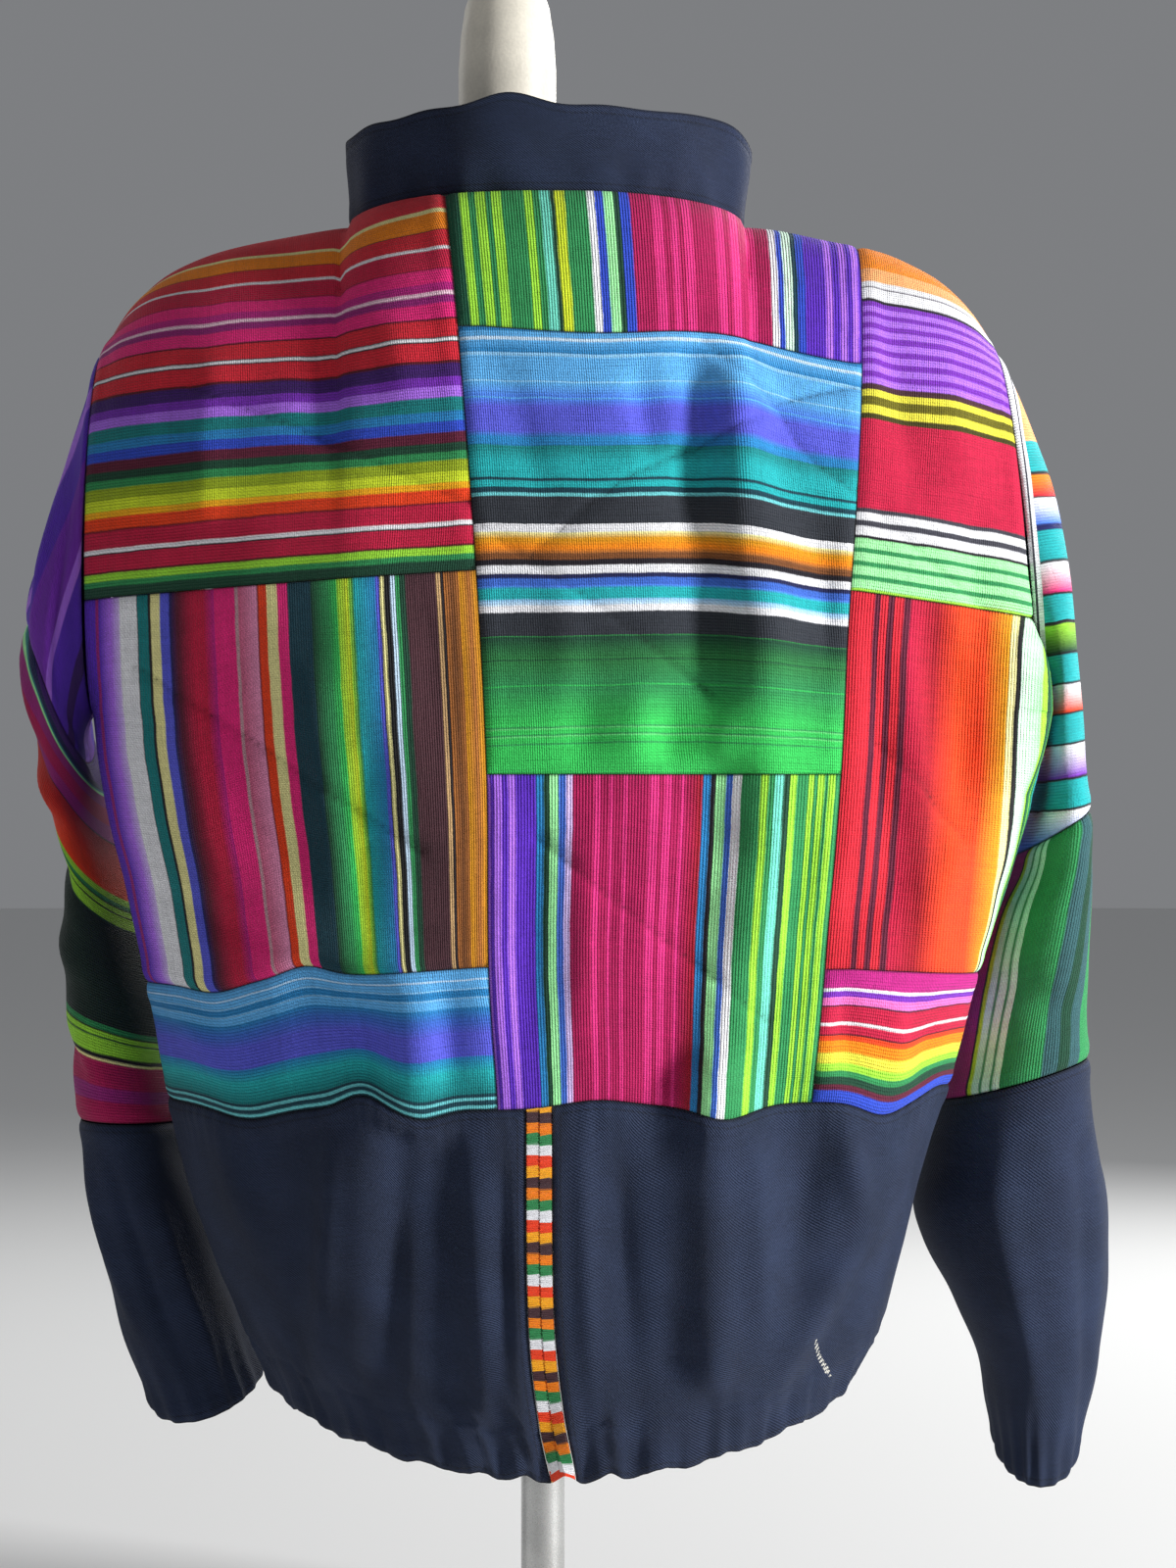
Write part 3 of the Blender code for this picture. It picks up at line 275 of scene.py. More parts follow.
# Pieces of each sleeve, by the rings that they run between
Span = namedtuple("Span", "name first last")
LEFT_SPANS = (Span("upper", 0, 4), Span("middle", 4, 12), Span("lower", 12, 18))
RIGHT_SPANS = (Span("upper", 0, 7.2), Span("middle", 7.2, 11.4), Span("lower", 11.4, 19))

# Stand collar
COLLAR_BACK = 0.047
COLLAR_FRONT = 0.041
COLLAR_GAP = 0.05
COLLAR_LEAN = 0.004
COLLAR_EASE = 0.0022
COLLAR_WAVE = 0.0022
COLLAR_RIPPLE = 0.0014
COLLAR_CORNER = 0.05
COLLAR_CORNER_HEIGHT = 0.72

# Zip: its middle, its half width, and the slider's length and distance under the neck
FRONT_MIDDLE = 0.004
ZIP_HALF = 0.013
SLIDER_LENGTH = 0.013
SLIDER_DROP = 0.012

# Dress form
FORM_X = 0.001
KNOB_X = -0.0185
Girth = namedtuple("Girth", "height half_width half_depth forward")
TORSO = (
    Girth(0.225, 0.100, 0.066, 0.004),
    Girth(0.240, 0.112, 0.074, 0.004),
    Girth(0.290, 0.122, 0.082, 0.002),
    Girth(0.360, 0.116, 0.078, 0.000),
    Girth(0.430, 0.120, 0.080, 0.000),
    Girth(0.510, 0.140, 0.086, -0.002),
    Girth(0.600, 0.156, 0.084, -0.006),
    Girth(0.680, 0.164, 0.074, -0.008),
    Girth(0.735, 0.166, 0.058, -0.006),
    Girth(0.768, 0.160, 0.038, -0.003),
    Girth(0.7866, 0.148, 0.022, -0.002),
    Girth(0.7961, 0.126, 0.016, -0.001),
    Girth(0.7988, 0.104, 0.017, -0.002),
    Girth(0.8010, 0.074, 0.027, -0.003),
    Girth(0.8120, 0.050, 0.042, -0.004),
    Girth(0.8300, 0.045, 0.043, -0.004),
)
TORSO_SIDES = 96
TORSO_ROWS = 72
NECK_LEAN_START = 0.795
NECK_LEAN_RISE = 0.030
Turn = namedtuple("Turn", "radius height")
KNOB = (
    Turn(0.0000, 0.9460),
    Turn(0.0080, 0.9450),
    Turn(0.0150, 0.9410),
    Turn(0.0200, 0.9340),
    Turn(0.0232, 0.9240),
    Turn(0.0256, 0.9080),
    Turn(0.0268, 0.8900),
    Turn(0.0268, 0.8740),
    Turn(0.0262, 0.8600),
    Turn(0.0250, 0.8460),
    Turn(0.0240, 0.8303),
    Turn(0.0000, 0.8303),
)
KNOB_SIDES = 72
POLE_RADIUS = 0.012
BASE_RADIUS = 0.138
BASE_HEIGHT = 0.018
BASE_EDGE = 0.004
FORM_EDGE = 0.0012
BASE_SIDES = 128
POLE_SIDES = 48


def clamp(value, low=0.0, high=1.0):
    return np.clip(value, low, high)


def ease(t):
    return t * t * (3 - 2 * t)


def read(table, key, value, column):
    """A column of a table at any places, on a smooth curve through its rows."""
    rows = sorted(table, key=lambda row: getattr(row, key))
    keys = np.array([getattr(row, key) for row in rows])
    vals = np.array([getattr(row, column) for row in rows])
    last = len(keys) - 1
    low = np.maximum(np.arange(last + 1) - 1, 0)
    high = np.minimum(np.arange(last + 1) + 1, last)
    slope = (vals[high] - vals[low]) / (keys[high] - keys[low])
    value = clamp(value, keys[0], keys[-1])
    i = clamp(np.searchsorted(keys, value, side="left") - 1, 0, last - 1)
    width = keys[i + 1] - keys[i]
    t = (value - keys[i]) / width
    t2 = t * t
    t3 = t2 * t
    return ((2 * t3 - 3 * t2 + 1) * vals[i] + (t3 - 2 * t2 + t) * width * slope[i]
            + (3 * t2 - 2 * t3) * vals[i + 1] + (t3 - t2) * width * slope[i + 1])


def shift(z):
    rise = clamp((z - UNDERARM) / (SHOULDER_TIP - UNDERARM))
    high = BODY[-1].shift + (TIP_SHIFT - BODY[-1].shift) * rise
    return np.where(z < UNDERARM, read(BODY, "height", z, "shift"), high)


def half_width(z):
    rise = clamp((z - UNDERARM) / (SHOULDER_TIP - UNDERARM))
    high = BODY[-1].half_width + (TIP_HALF_WIDTH - BODY[-1].half_width) * rise
    return np.where(z < UNDERARM, read(BODY, "height", z, "half_width"), high)


def neck_ring(x):
    """1 in the middle of the neck ring, 0 at its sides and beyond."""
    return np.sqrt(1 - clamp(abs(x - NECK_SHIFT) / NECK_HALF) ** 2)


def top_height(face, x):
    """Height of the shoulder line, or of the neck seam, above a place across."""
    line = read(SHOULDER, "out", abs(x - TIP_SHIFT), "height")
    return line + np.where(face < 0, NECK_RISE, -NECK_DIP) * neck_ring(x)


def line_distance(x, z, x0, z0, x1, z1):
    """How far places are from a straight line, and how far along it they lie."""
    ax, az = x1 - x0, z1 - z0
    run = clamp(((x - x0) * ax + (z - z0) * az) / (ax * ax + az * az))
    return np.hypot(x - x0 - ax * run, z - z0 - az * run), run


def folds(table, face, x, z, taper=False):
    """Height of the folds of a table above the plain cloth. Tapered ones die out at their ends."""
    total = np.zeros_like(x)
    for fold in table:
        if fold.face == face:
            away, run = line_distance(x, z, fold.x0, fold.z0, fold.x1, fold.z1)
            size = np.sin(math.pi * (0.06 + 0.88 * run)) ** 0.8 if taper else 1.0
            total += fold.depth * size * np.exp(-(away / fold.spread) ** 2)
    return total


def hem_height(face, across):
    middle = HEM if face < 0 else HEM_FRONT
    return middle + (HEM_SIDE - middle) * across ** 2


def cloth_depth(face, x, z):
    """Distance of the cloth from the plane of the side seams."""
    across = np.minimum(abs(x - shift(z)) / half_width(z), 1.0)
    power = BACK_FULLNESS + 0 * z
    if face > 0:
        power = power - FRONT_PINCH * ease(clamp((PINCH_TOP - z) / PINCH_FADE))
    reach = read(BODY, "height", z, "back" if face < 0 else "front")
    large = folds(FOLDS, face, x, z) * np.minimum(1.0, 3.0 * (1 - across))
    middle = 1 - across ** power
    low = reach * middle ** (1 / power) + large
    rise = clamp((z - UNDERARM) / (top_height(face, x) - UNDERARM), 0.0, 1 - 1e-7)
    fall = np.sqrt(1 - rise ** SHOULDER_ROUND)
    hole = ARMHOLE_DEPTH * np.sqrt(4 * rise * (1 - rise)) / fall
    whole = (reach ** power * middle + (hole * across) ** power) ** (1 / power)
    crest = (NECK_BACK if face < 0 else NECK_FRONT) * neck_ring(x)
    return np.where(z <= UNDERARM, low, crest + (whole + large - crest) * fall)


def cloth_point(face, x, z):
    y = face * (cloth_depth(face, x, z) + SEAM / 2)
    return np.stack([x, y, z], axis=-1)


def side_edge(side):
    """The edge of a panel at the side seam and armhole."""
    return lambda z: shift(z) + side * half_width(z)


def seam_edge(table, side):
    return lambda z: read(table, "height", z, "across") + side * SEAM / 2


def join_edge(across):
    """A line beside the joining seam of the band."""
    return lambda z: read(JOIN, "height", z, "across") + across


def zip_edge(across):
    """A line beside the middle of the zip."""
    return lambda z: across + FRONT_MIDDLE + 0 * z


def level(cross, ends, side):
    """A seam across a patch, from its height at the left end to that at the right."""
    sway = SWAY.get(cross, ())

    def height(x):
        t = clamp((x - ends[0]) / (ends[1] - ends[0]))
        bumps = sum(b.rise * np.exp(-((x - b.x) / b.spread) ** 2) for b in sway)
        return cross.left + (cross.right - cross.left) * t + side * SEAM / 2 + bumps
    return height


def shoulder(face):
    return lambda x: top_height(face, x)


def panel_skin(face, edges, levels, crowd=1.0):
    """The outer face of a panel between two upright edges and two cross edges."""
    left, right = edges
    low, high = levels

    def skin(p, q):
        q_up = 1 - (1 - q) ** crowd
        z = (low(0.0 * p) + high(0.0 * p)) / 2 + 0 * p
        x = 0.0 * p
        for _ in range(5):
            centre = shift(z)
            width = half_width(z)
            a = np.arcsin(clamp((left(z) - centre) / width, -1.0, 1.0))
            b = np.arcsin(clamp((right(z) - centre) / width, -1.0, 1.0))
            turn = a + (b - a) * (p if face < 0 else 1 - p)
            x = centre + width * np.sin(turn)
            z = low(x) + (high(x) - low(x)) * q_up
        return cloth_point(face, x, z)
    return skin


def gather(turn, drop):
    """Waves of the gathered hem, uneven in size, by the place round the body."""
    wave = np.sin(GATHERS * turn + 0.9 * np.sin(3 * turn + 0.4))
    size = 0.75 + 0.25 * np.sin(5 * turn + 1.1)
    return wave * size * clamp(1 - drop / GATHER_HEIGHT) ** 1.4


def band_skin(face, edges, high):
    """The lower band: plain at its seam, in waves at the hem."""
    def low(x):
        across = np.minimum(abs(x - shift(HEM_SIDE)) / half_width(HEM_SIDE), 1.0)
        return hem_height(face, across)

    plain = panel_skin(face, edges, (low, high))

    def skin(p, q):
        point = plain(p, q)
        x, y, z = point[..., 0], point[..., 1], point[..., 2]
        out_x = x - shift(z)
        reach = np.maximum(np.hypot(out_x, y), 1e-9)
        turn = np.arctan2(out_x, -y)
        wave = gather(turn, (high(x) - low(x)) * q) * clamp(abs(y) / GATHER_FADE)
        step = wave * GATHER_DEPTH / reach
        return np.stack([x + out_x * step, y + y * step, z + wave * GATHER_DROP * (1 - q)],
                        axis=-1)
    return skin


def ring_points(rings, turn):
    """Points of every sleeve ring at a turn: 0 is its outer end, a quarter turn its back."""
    out = np.array([(r.out_x, r.forward, r.out_z) for r in rings])
    inner = np.array([(r.in_x, r.forward, r.in_z) for r in rings])
    depth = np.array([r.half_depth for r in rings])
    side = np.array([r.lean for r in rings]) * depth
    drop = np.array([r.drop for r in rings])
    reach = (out - inner) / 2
    long = np.linalg.norm(reach, axis=1)
    half = np.sqrt(long ** 2 - side ** 2)
    back = np.sin(turn)[..., None]
    push = half * np.cos(turn)[..., None] + side * back
    point = (out + inner) / 2 + (reach / long[:, None]) * push[..., None]
    point[..., 1] -= depth * back
    point[..., 2] -= drop * back
    return point


def sleeve_skin(rings, first, last, mirror):
    """A tube through some of the sleeve's rings."""
    def skin(p, q):
        run = first + (last - first) * (1 - q)
        i = clamp(np.floor(run), 0, len(rings) - 2).astype(int)
        t = (run - i)[..., None]
        points = ring_points(rings, math.tau * (p if not mirror else -p))

        def near(k):
            spot = clamp(k, 0, len(rings) - 1)[..., None, None]
            return np.take_along_axis(points, spot, axis=-2)[..., 0, :]
        a, b, c, d = near(i - 1), near(i), near(i + 1), near(i + 2)
        return (b * 2 + (c - a) * t + (a * 2 - b * 5 + c * 4 - d) * t * t
                + (b * 3 - a - c * 3 + d) * t ** 3) / 2
    return skin


def collar_skin(p, q):
    """The stand collar, from one front end round the back to the other."""
    turn = math.pi - COLLAR_GAP - (math.tau - 2 * COLLAR_GAP) * p
    across = np.sin(-turn)
    x = NECK_SHIFT + NECK_HALF * across
    face = np.where(np.cos(turn) > 0, -1, 1)
    ring = abs(np.cos(turn))
    y = face * np.where(face < 0, NECK_BACK, NECK_FRONT) * ring
    base = top_height(face, x) + SEAM * 2 + np.where(face > 0, COLLAR_EASE * ring, 0.0)
    tall = COLLAR_FRONT + (COLLAR_BACK - COLLAR_FRONT) * (1 + np.cos(turn)) / 2
    wavy = COLLAR_WAVE * np.sin(5 * turn + 0.6) + COLLAR_RIPPLE * np.sin(9 * turn)
    end = clamp(np.minimum(p, 1 - p) / COLLAR_CORNER)
    low_end = COLLAR_CORNER_HEIGHT
    tall = (tall + wavy) * (low_end + (1 - low_end) * np.sqrt(1 - (1 - end) ** 2))
    lean = COLLAR_LEAN * q * (1.0 + 0.6 * np.sin(3 * turn + 1.0))
    size = np.maximum(np.hypot(across, ring), 1e-9)
    return np.stack([x + across / size * lean, y + face * ring / size * lean, base + tall * q],
                    axis=-1)


def torso_skin(p, q):
    """The form's torso by its girths, p round it and q up it."""
    turn = math.tau * p
    z = TORSO[0].height + (TORSO[-1].height - TORSO[0].height) * q
    width = read(TORSO, "height", z, "half_width")
    depth = read(TORSO, "height", z, "half_depth")
    forward = read(TORSO, "height", z, "forward")
    lean = clamp((z - NECK_LEAN_START) / NECK_LEAN_RISE)
    centre = FORM_X + (KNOB_X - FORM_X) * lean
    return np.stack([centre + width * np.sin(turn), forward - depth * np.cos(turn), z], axis=-1)


# Smaller creases of the cloth: soft troughs (depth below zero) and ridges
CREASES = (
    # left column
    Fold(-1, -0.236, 0.640, -0.150, 0.622, 0.009, -0.0022),
    Fold(-1, -0.228, 0.690, -0.165, 0.668, 0.010, 0.0016),
    Fold(-1, -0.120, 0.735, -0.112, 0.668, 0.010, -0.0018),
    Fold(-1, -0.078, 0.745, -0.066, 0.690, 0.011, 0.0018),
    Fold(-1, -0.210, 0.580, -0.184, 0.440, 0.009, -0.0018),
    Fold(-1, -0.196, 0.570, -0.168, 0.430, 0.009, 0.0018),
    Fold(-1, -0.150, 0.585, -0.142, 0.500, 0.009, -0.0020),
    Fold(-1, -0.118, 0.555, -0.104, 0.430, 0.008, 0.0022),
    Fold(-1, -0.086, 0.520, -0.090, 0.410, 0.009, -0.0024),
    Fold(-1, -0.058, 0.590, -0.050, 0.505, 0.008, -0.0018),
    Fold(-1, -0.200, 0.440, -0.120, 0.405, 0.009, -0.0024),
    Fold(-1, -0.205, 0.395, -0.165, 0.345, 0.009, 0.0024),
    Fold(-1, -0.150, 0.385, -0.140, 0.335, 0.008, -0.0022),
    Fold(-1, -0.091, 0.402, -0.087, 0.325, 0.012, -0.0028),
    Fold(-1, -0.062, 0.402, -0.060, 0.325, 0.010, 0.0024),
    Fold(-1, -0.048, 0.396, -0.044, 0.336, 0.007, -0.0020),
    # middle column
    Fold(-1, -0.020, 0.720, 0.004, 0.640, 0.010, -0.0020),
    Fold(-1, 0.050, 0.715, 0.060, 0.668, 0.008, -0.0028),
    Fold(-1, 0.070, 0.718, 0.077, 0.672, 0.009, 0.0018),
    Fold(-1, 0.080, 0.738, 0.082, 0.620, 0.010, -0.0040),
    Fold(-1, 0.107, 0.738, 0.109, 0.626, 0.012, 0.0034),
    Fold(-1, 0.142, 0.640, 0.156, 0.560, 0.010, -0.0026),
    Fold(-1, 0.010, 0.610, 0.018, 0.520, 0.010, 0.0020),
    Fold(-1, 0.091, 0.610, 0.092, 0.536, 0.011, -0.0042),
    Fold(-1, 0.119, 0.610, 0.122, 0.540, 0.013, 0.0034),
    Fold(-1, 0.071, 0.552, 0.068, 0.490, 0.010, -0.0038),
    Fold(-1, 0.098, 0.550, 0.095, 0.494, 0.012, 0.0032),
    Fold(-1, 0.020, 0.555, 0.024, 0.498, 0.011, -0.0030),
    Fold(-1, 0.052, 0.553, 0.050, 0.500, 0.010, 0.0022),
    Fold(-1, 0.000, 0.490, -0.006, 0.360, 0.009, -0.0026),
    Fold(-1, 0.026, 0.480, 0.022, 0.345, 0.008, 0.0024),
    Fold(-1, 0.140, 0.480, 0.132, 0.400, 0.009, -0.0026),
    # band
    Fold(-1, 0.066, 0.330, 0.073, 0.185, 0.013, 0.0030),
    Fold(-1, 0.036, 0.330, 0.046, 0.185, 0.018, -0.0030),
    Fold(-1, 0.176, 0.268, 0.112, 0.160, 0.008, 0.0024),
    Fold(-1, 0.190, 0.258, 0.126, 0.150, 0.009, -0.0028),
    # right column
    Fold(-1, 0.184, 0.760, 0.200, 0.640, 0.009, -0.0022),
    Fold(-1, 0.214, 0.735, 0.226, 0.650, 0.009, 0.0018),
    Fold(-1, 0.178, 0.560, 0.184, 0.440, 0.008, -0.0024),
    Fold(-1, 0.190, 0.585, 0.203, 0.430, 0.009, 0.0040),
    Fold(-1, 0.222, 0.604, 0.238, 0.500, 0.009, 0.0030),
    Fold(-1, 0.232, 0.640, 0.224, 0.470, 0.008, -0.0030),
    Fold(-1, 0.252, 0.590, 0.247, 0.492, 0.017, 0.0185),
    Fold(-1, 0.222, 0.480, 0.206, 0.410, 0.009, 0.0026),
    Fold(-1, 0.160, 0.392, 0.166, 0.336, 0.008, -0.0024),
    Fold(-1, 0.186, 0.386, 0.190, 0.340, 0.008, 0.0026),
    Fold(-1, 0.208, 0.372, 0.206, 0.338, 0.007, -0.0020),
    # lower band, back
    Fold(-1, -0.172, 0.320, -0.150, 0.250, 0.008, 0.0030),
    Fold(-1, -0.118, 0.326, -0.128, 0.215, 0.008, -0.0030),
    Fold(-1, -0.108, 0.310, -0.116, 0.170, 0.007, 0.0034),
    Fold(-1, -0.070, 0.322, -0.078, 0.180, 0.007, -0.0026),
    Fold(-1, -0.034, 0.316, -0.028, 0.170, 0.007, 0.0028),
    Fold(-1, -0.018, 0.300, -0.016, 0.190, 0.006, -0.0022),
    Fold(-1, 0.022, 0.325, 0.028, 0.180, 0.007, 0.0030),
    Fold(-1, 0.042, 0.310, 0.050, 0.190, 0.008, -0.0030),
    Fold(-1, 0.112, 0.325, 0.116, 0.200, 0.008, 0.0034),
    Fold(-1, 0.140, 0.300, 0.136, 0.220, 0.009, -0.0044),
    Fold(-1, 0.160, 0.322, 0.172, 0.262, 0.008, 0.0040),
    # front
    Fold(1, -0.180, 0.600, -0.120, 0.500, 0.011, -0.0028),
    Fold(1, -0.060, 0.700, -0.070, 0.590, 0.011, 0.0020),
    Fold(1, -0.150, 0.430, -0.135, 0.340, 0.010, -0.0026),
    Fold(1, -0.060, 0.520, -0.052, 0.380, 0.010, 0.0026),
    Fold(1, 0.175, 0.590, 0.130, 0.510, 0.011, -0.0028),
    Fold(1, 0.070, 0.690, 0.080, 0.600, 0.010, 0.0022),
    Fold(1, 0.160, 0.440, 0.140, 0.350, 0.010, -0.0026),
    Fold(1, 0.060, 0.500, 0.054, 0.370, 0.010, -0.0022),
    Fold(1, -0.160, 0.310, -0.150, 0.200, 0.008, 0.0032),
    Fold(1, -0.040, 0.320, -0.038, 0.190, 0.008, -0.0030),
    Fold(1, 0.040, 0.315, 0.044, 0.190, 0.008, 0.0028),
    Fold(1, 0.155, 0.315, 0.148, 0.200, 0.008, -0.0032),
)

# Creases of the sleeves, by turn round the arm (0 outer, 0.25 back) and ring down it
Crease = namedtuple("Crease", "turn0 ring0 turn1 ring1 spread depth")
LEFT_CREASES = (
    Crease(0.02, 0.5, 0.10, 3.5, 0.010, -0.0030),
    Crease(0.10, 0.8, 0.20, 4.4, 0.009, 0.0026),
    Crease(0.19, 1.0, 0.32, 3.6, 0.010, -0.0028),
    Crease(0.05, 3.4, 0.24, 5.6, 0.010, 0.0032),
    Crease(0.00, 4.6, 0.22, 6.6, 0.009, -0.0036),
    Crease(0.06, 6.4, 0.30, 7.4, 0.009, 0.0030),
    Crease(-0.02, 7.4, 0.24, 8.6, 0.010, -0.0034),
    Crease(0.04, 9.2, 0.28, 9.8, 0.009, 0.0028),
    Crease(0.02, 10.6, 0.20, 11.4, 0.009, -0.0030),
    Crease(0.12, 12.4, 0.16, 15.6, 0.009, 0.0034),
    Crease(0.22, 12.6, 0.25, 16.4, 0.008, -0.0034),
    Crease(0.03, 13.2, 0.07, 17.2, 0.009, -0.0030),
    Crease(0.31, 13.0, 0.33, 17.0, 0.009, 0.0026),
    Crease(0.45, 3.0, 0.58, 6.0, 0.011, -0.0028),
    Crease(0.60, 5.0, 0.80, 6.4, 0.011, 0.0026),
    Crease(0.62, 8.4, 0.86, 9.2, 0.010, -0.0030),
    Crease(0.66, 12.6, 0.70, 16.0, 0.010, 0.0028),
    Crease(0.82, 13.0, 0.84, 16.8, 0.009, -0.0028),
)
RIGHT_CREASES = (
    Crease(0.08, 0.6, 0.12, 3.2, 0.009, -0.0022),
    Crease(0.20, 0.8, 0.26, 3.8, 0.010, 0.0024),
    Crease(0.04, 3.6, 0.16, 5.2, 0.009, -0.0024),
    Crease(0.02, 5.4, 0.20, 6.6, 0.009, 0.0026),
    Crease(0.14, 6.8, 0.18, 10.6, 0.009, -0.0034),
    Crease(0.22, 7.0, 0.24, 11.0, 0.009, 0.0032),
    Crease(0.06, 7.6, 0.09, 11.2, 0.008, 0.0026),
    Crease(0.30, 7.6, 0.31, 10.8, 0.009, -0.0028),
    Crease(0.10, 11.8, 0.13, 17.6, 0.009, -0.0036),
    Crease(0.18, 12.0, 0.20, 18.2, 0.008, 0.0036),
    Crease(0.27, 12.6, 0.27, 18.0, 0.008, -0.0032),
    Crease(0.02, 12.4, 0.03, 17.4, 0.009, 0.0028),
    Crease(0.36, 13.0, 0.37, 17.8, 0.009, 0.0026),
    Crease(0.48, 3.0, 0.60, 6.2, 0.011, -0.0028),
    Crease(0.60, 6.4, 0.84, 7.6, 0.011, 0.0028),
    Crease(0.62, 9.8, 0.84, 10.6, 0.010, -0.0028),
    Crease(0.70, 12.4, 0.72, 17.2, 0.010, 0.0030),
    Crease(0.86, 12.8, 0.88, 17.8, 0.009, -0.0030),
)

# Quilting lines: places across and heights, on the back (-1) and the front (1)
QUILTING = (
    (-1, ((-0.185, 0.708), (-0.120, 0.682), (-0.037, 0.644))),
    (-1, ((0.087, 0.7305), (0.116, 0.704), (0.1265, 0.693), (0.1357, 0.6765),
          (0.148, 0.664), (0.164, 0.652))),
    (-1, ((0.111, 0.687), (0.082, 0.6735), (0.0475, 0.6575), (0.0245, 0.641),
          (0.0066, 0.6245), (-0.0036, 0.617))),
    (-1, ((-0.0326, 0.635), (-0.0128, 0.620), (0.040, 0.585), (0.090, 0.545))),
    (-1, ((0.128, 0.6975), (0.148, 0.703), (0.167, 0.7065))),
    (-1, ((0.179, 0.640), (0.2015, 0.619), (0.2387, 0.590))),
    (-1, ((-0.215, 0.560), (-0.150, 0.520), (-0.060, 0.462))),
    (-1, ((0.000, 0.470), (0.050, 0.430), (0.120, 0.375))),
    (-1, ((0.178, 0.520), (0.225, 0.470))),
    (1, ((-0.200, 0.700), (-0.110, 0.650), (-0.030, 0.600))),
    (1, ((-0.210, 0.560), (-0.120, 0.500), (-0.030, 0.440))),
    (1, ((0.205, 0.700), (0.120, 0.645), (0.035, 0.600))),
    (1, ((0.215, 0.560), (0.120, 0.500), (0.030, 0.445))),
    (1, ((-0.200, 0.430), (-0.110, 0.370))),
    (1, ((0.205, 0.430), (0.110, 0.370))),
)

# Seams: the trench at a seam and the fullness beside it, and the trench of a quilting line
TRENCH = 0.0010
TRENCH_SPREAD = 0.0013
PUFF = 0.0006
PUFF_PLACE = 0.0065
QUILT_TRENCH = 0.0015
QUILT_SPREAD = 0.0030

# Stitches to a metre, the share of each that shows, and how far from its edge canvas is stitched
QUILT_STITCHES = 400.0
QUILT_STITCH_SHARE = 0.72
CANVAS_STITCHES = 380.0
CANVAS_STITCH_SHARE = 0.7
TOP_STITCH = 0.0042

# Sheets: grid step, how far they lie off the solid, their unevenness, and the camera's assumed
# distance
GRID = 0.0027
LIFT = 0.0003
RIPPLE = 0.0005
EYE = 2.2

# Creases and ripples: how far from a seam they are whole, how often ripples come, across and
# up, and the share of a crease that is left at a seam
Calm = namedtuple("Calm", "reach wide tall")
BODY_CALM = Calm(0.012, 73.0, 67.0)
SLEEVE_CALM = Calm(0.014, 67.0, 59.0)
COLLAR_CALM = Calm(0.010, 83.0, 71.0)
BODY_SHARE = 0.25
SLEEVE_SHARE = 0.2

# Sleeves: length between two rings and round the arm
RING_STEP = 0.033
ARM_ROUND = 0.34

# Stripes of the right upper arm: height and place of the lowest one, and their slope
ARM_LEVEL = 0.4683
ARM_OUTER = 0.297
ARM_SLOPE = 0.17

# Stripes of the left middle arm: how far they slant, at the lower seam and more above it
ARM_SLANT = 0.001
ARM_SLANT_RISE = 0.06

# Gathers of the band's cloth at the hem and at its seam, and the stitched channel over the hem
HEM_WAVE = 0.0008
HEM_GATHER = 0.0003
SEAM_GATHER = 0.0004
CHANNEL_PLACE = 0.030
CHANNEL_SPREAD = 0.0016
CHANNEL_DEPTH = 0.0009

# Pale mark on the band, from one place across and height to another
MARK = (0.146, 0.2037, 0.1555, 0.182)

# Satin stitch: its bars and their pitch, their reach beside the seam's half width, their rise
# and the strip under them
Satin = namedtuple("Satin", "count pitch")
SATIN_FULL = Satin(224, 0.00104)
SATIN_REACH = 0.87
SATIN_RISE = 0.0022
SATIN_BACKING = 0.0014

# Teeth of the zip: size, pitch, place beside the middle, how far the two sides are out of step,
# how far they stand off the tape, and where they start above the hem
TOOTH = (0.0030, 0.0016, 0.0011)
TOOTH_PITCH = 0.00145
TOOTH_ASIDE = 0.00085
TOOTH_OFFSET = 0.00072
TOOTH_PROUD = 0.00055
TEETH_START = 0.006

# Share of its ease by which the front of the collar reaches down to its seam
COLLAR_REACH = 0.85


def along(points, axis):
    """Length along a grid of points, row by row or column by column."""
    step = np.linalg.norm(np.diff(points, axis=axis), axis=-1)
    start = np.zeros_like(np.take(step, [0], axis=axis))
    return np.concatenate([start, np.cumsum(step, axis=axis)], axis=axis)


def quilting_distance(face, x, z):
    away = np.full_like(x, 1.0)
    for side, places in QUILTING:
        if side == face:
            for (x0, z0), (x1, z1) in zip(places, places[1:]):
                away = np.minimum(away, line_distance(x, z, x0, z0, x1, z1)[0])
    return away


def arm_folds(creases, p, run):
    """Height of the sleeve's creases at turns and rings."""
    total = np.zeros_like(p)
    for crease in creases:
        for lap in (-1, 0, 1):
            away, part = line_distance((p + lap) * ARM_ROUND, run * RING_STEP,
                                       crease.turn0 * ARM_ROUND, crease.ring0 * RING_STEP,
                                       crease.turn1 * ARM_ROUND, crease.ring1 * RING_STEP)
            size = np.sin(math.pi * (0.06 + 0.88 * part)) ** 0.8
            total += crease.depth * size * np.exp(-(away / crease.spread) ** 2)
    return total


def ripple(point, wide, tall):
    """Fine unevenness of worn cloth."""
    x, y, z = point[..., 0], point[..., 1], point[..., 2]
    return (np.sin(x * wide + 2.1 * np.sin(z * 41 + 0.7) + y * 23)
            * np.sin(z * tall + 1.7 * np.sin(x * 37 + 1.9) + y * 31))


def sewn_edge(away):
    """Height of cloth beside a seam: sunk at it, a little full next to it."""
    sunk = -TRENCH * np.exp(-(away / TRENCH_SPREAD) ** 2)
    return sunk + PUFF * np.exp(-((away - PUFF_PLACE) / PUFF_PLACE * 1.6) ** 2)


def crowd_ends(t, share=0.22):
    """Rows and columns lie closer together towards the seams."""
    return t - share / math.tau * np.sin(math.tau * t)


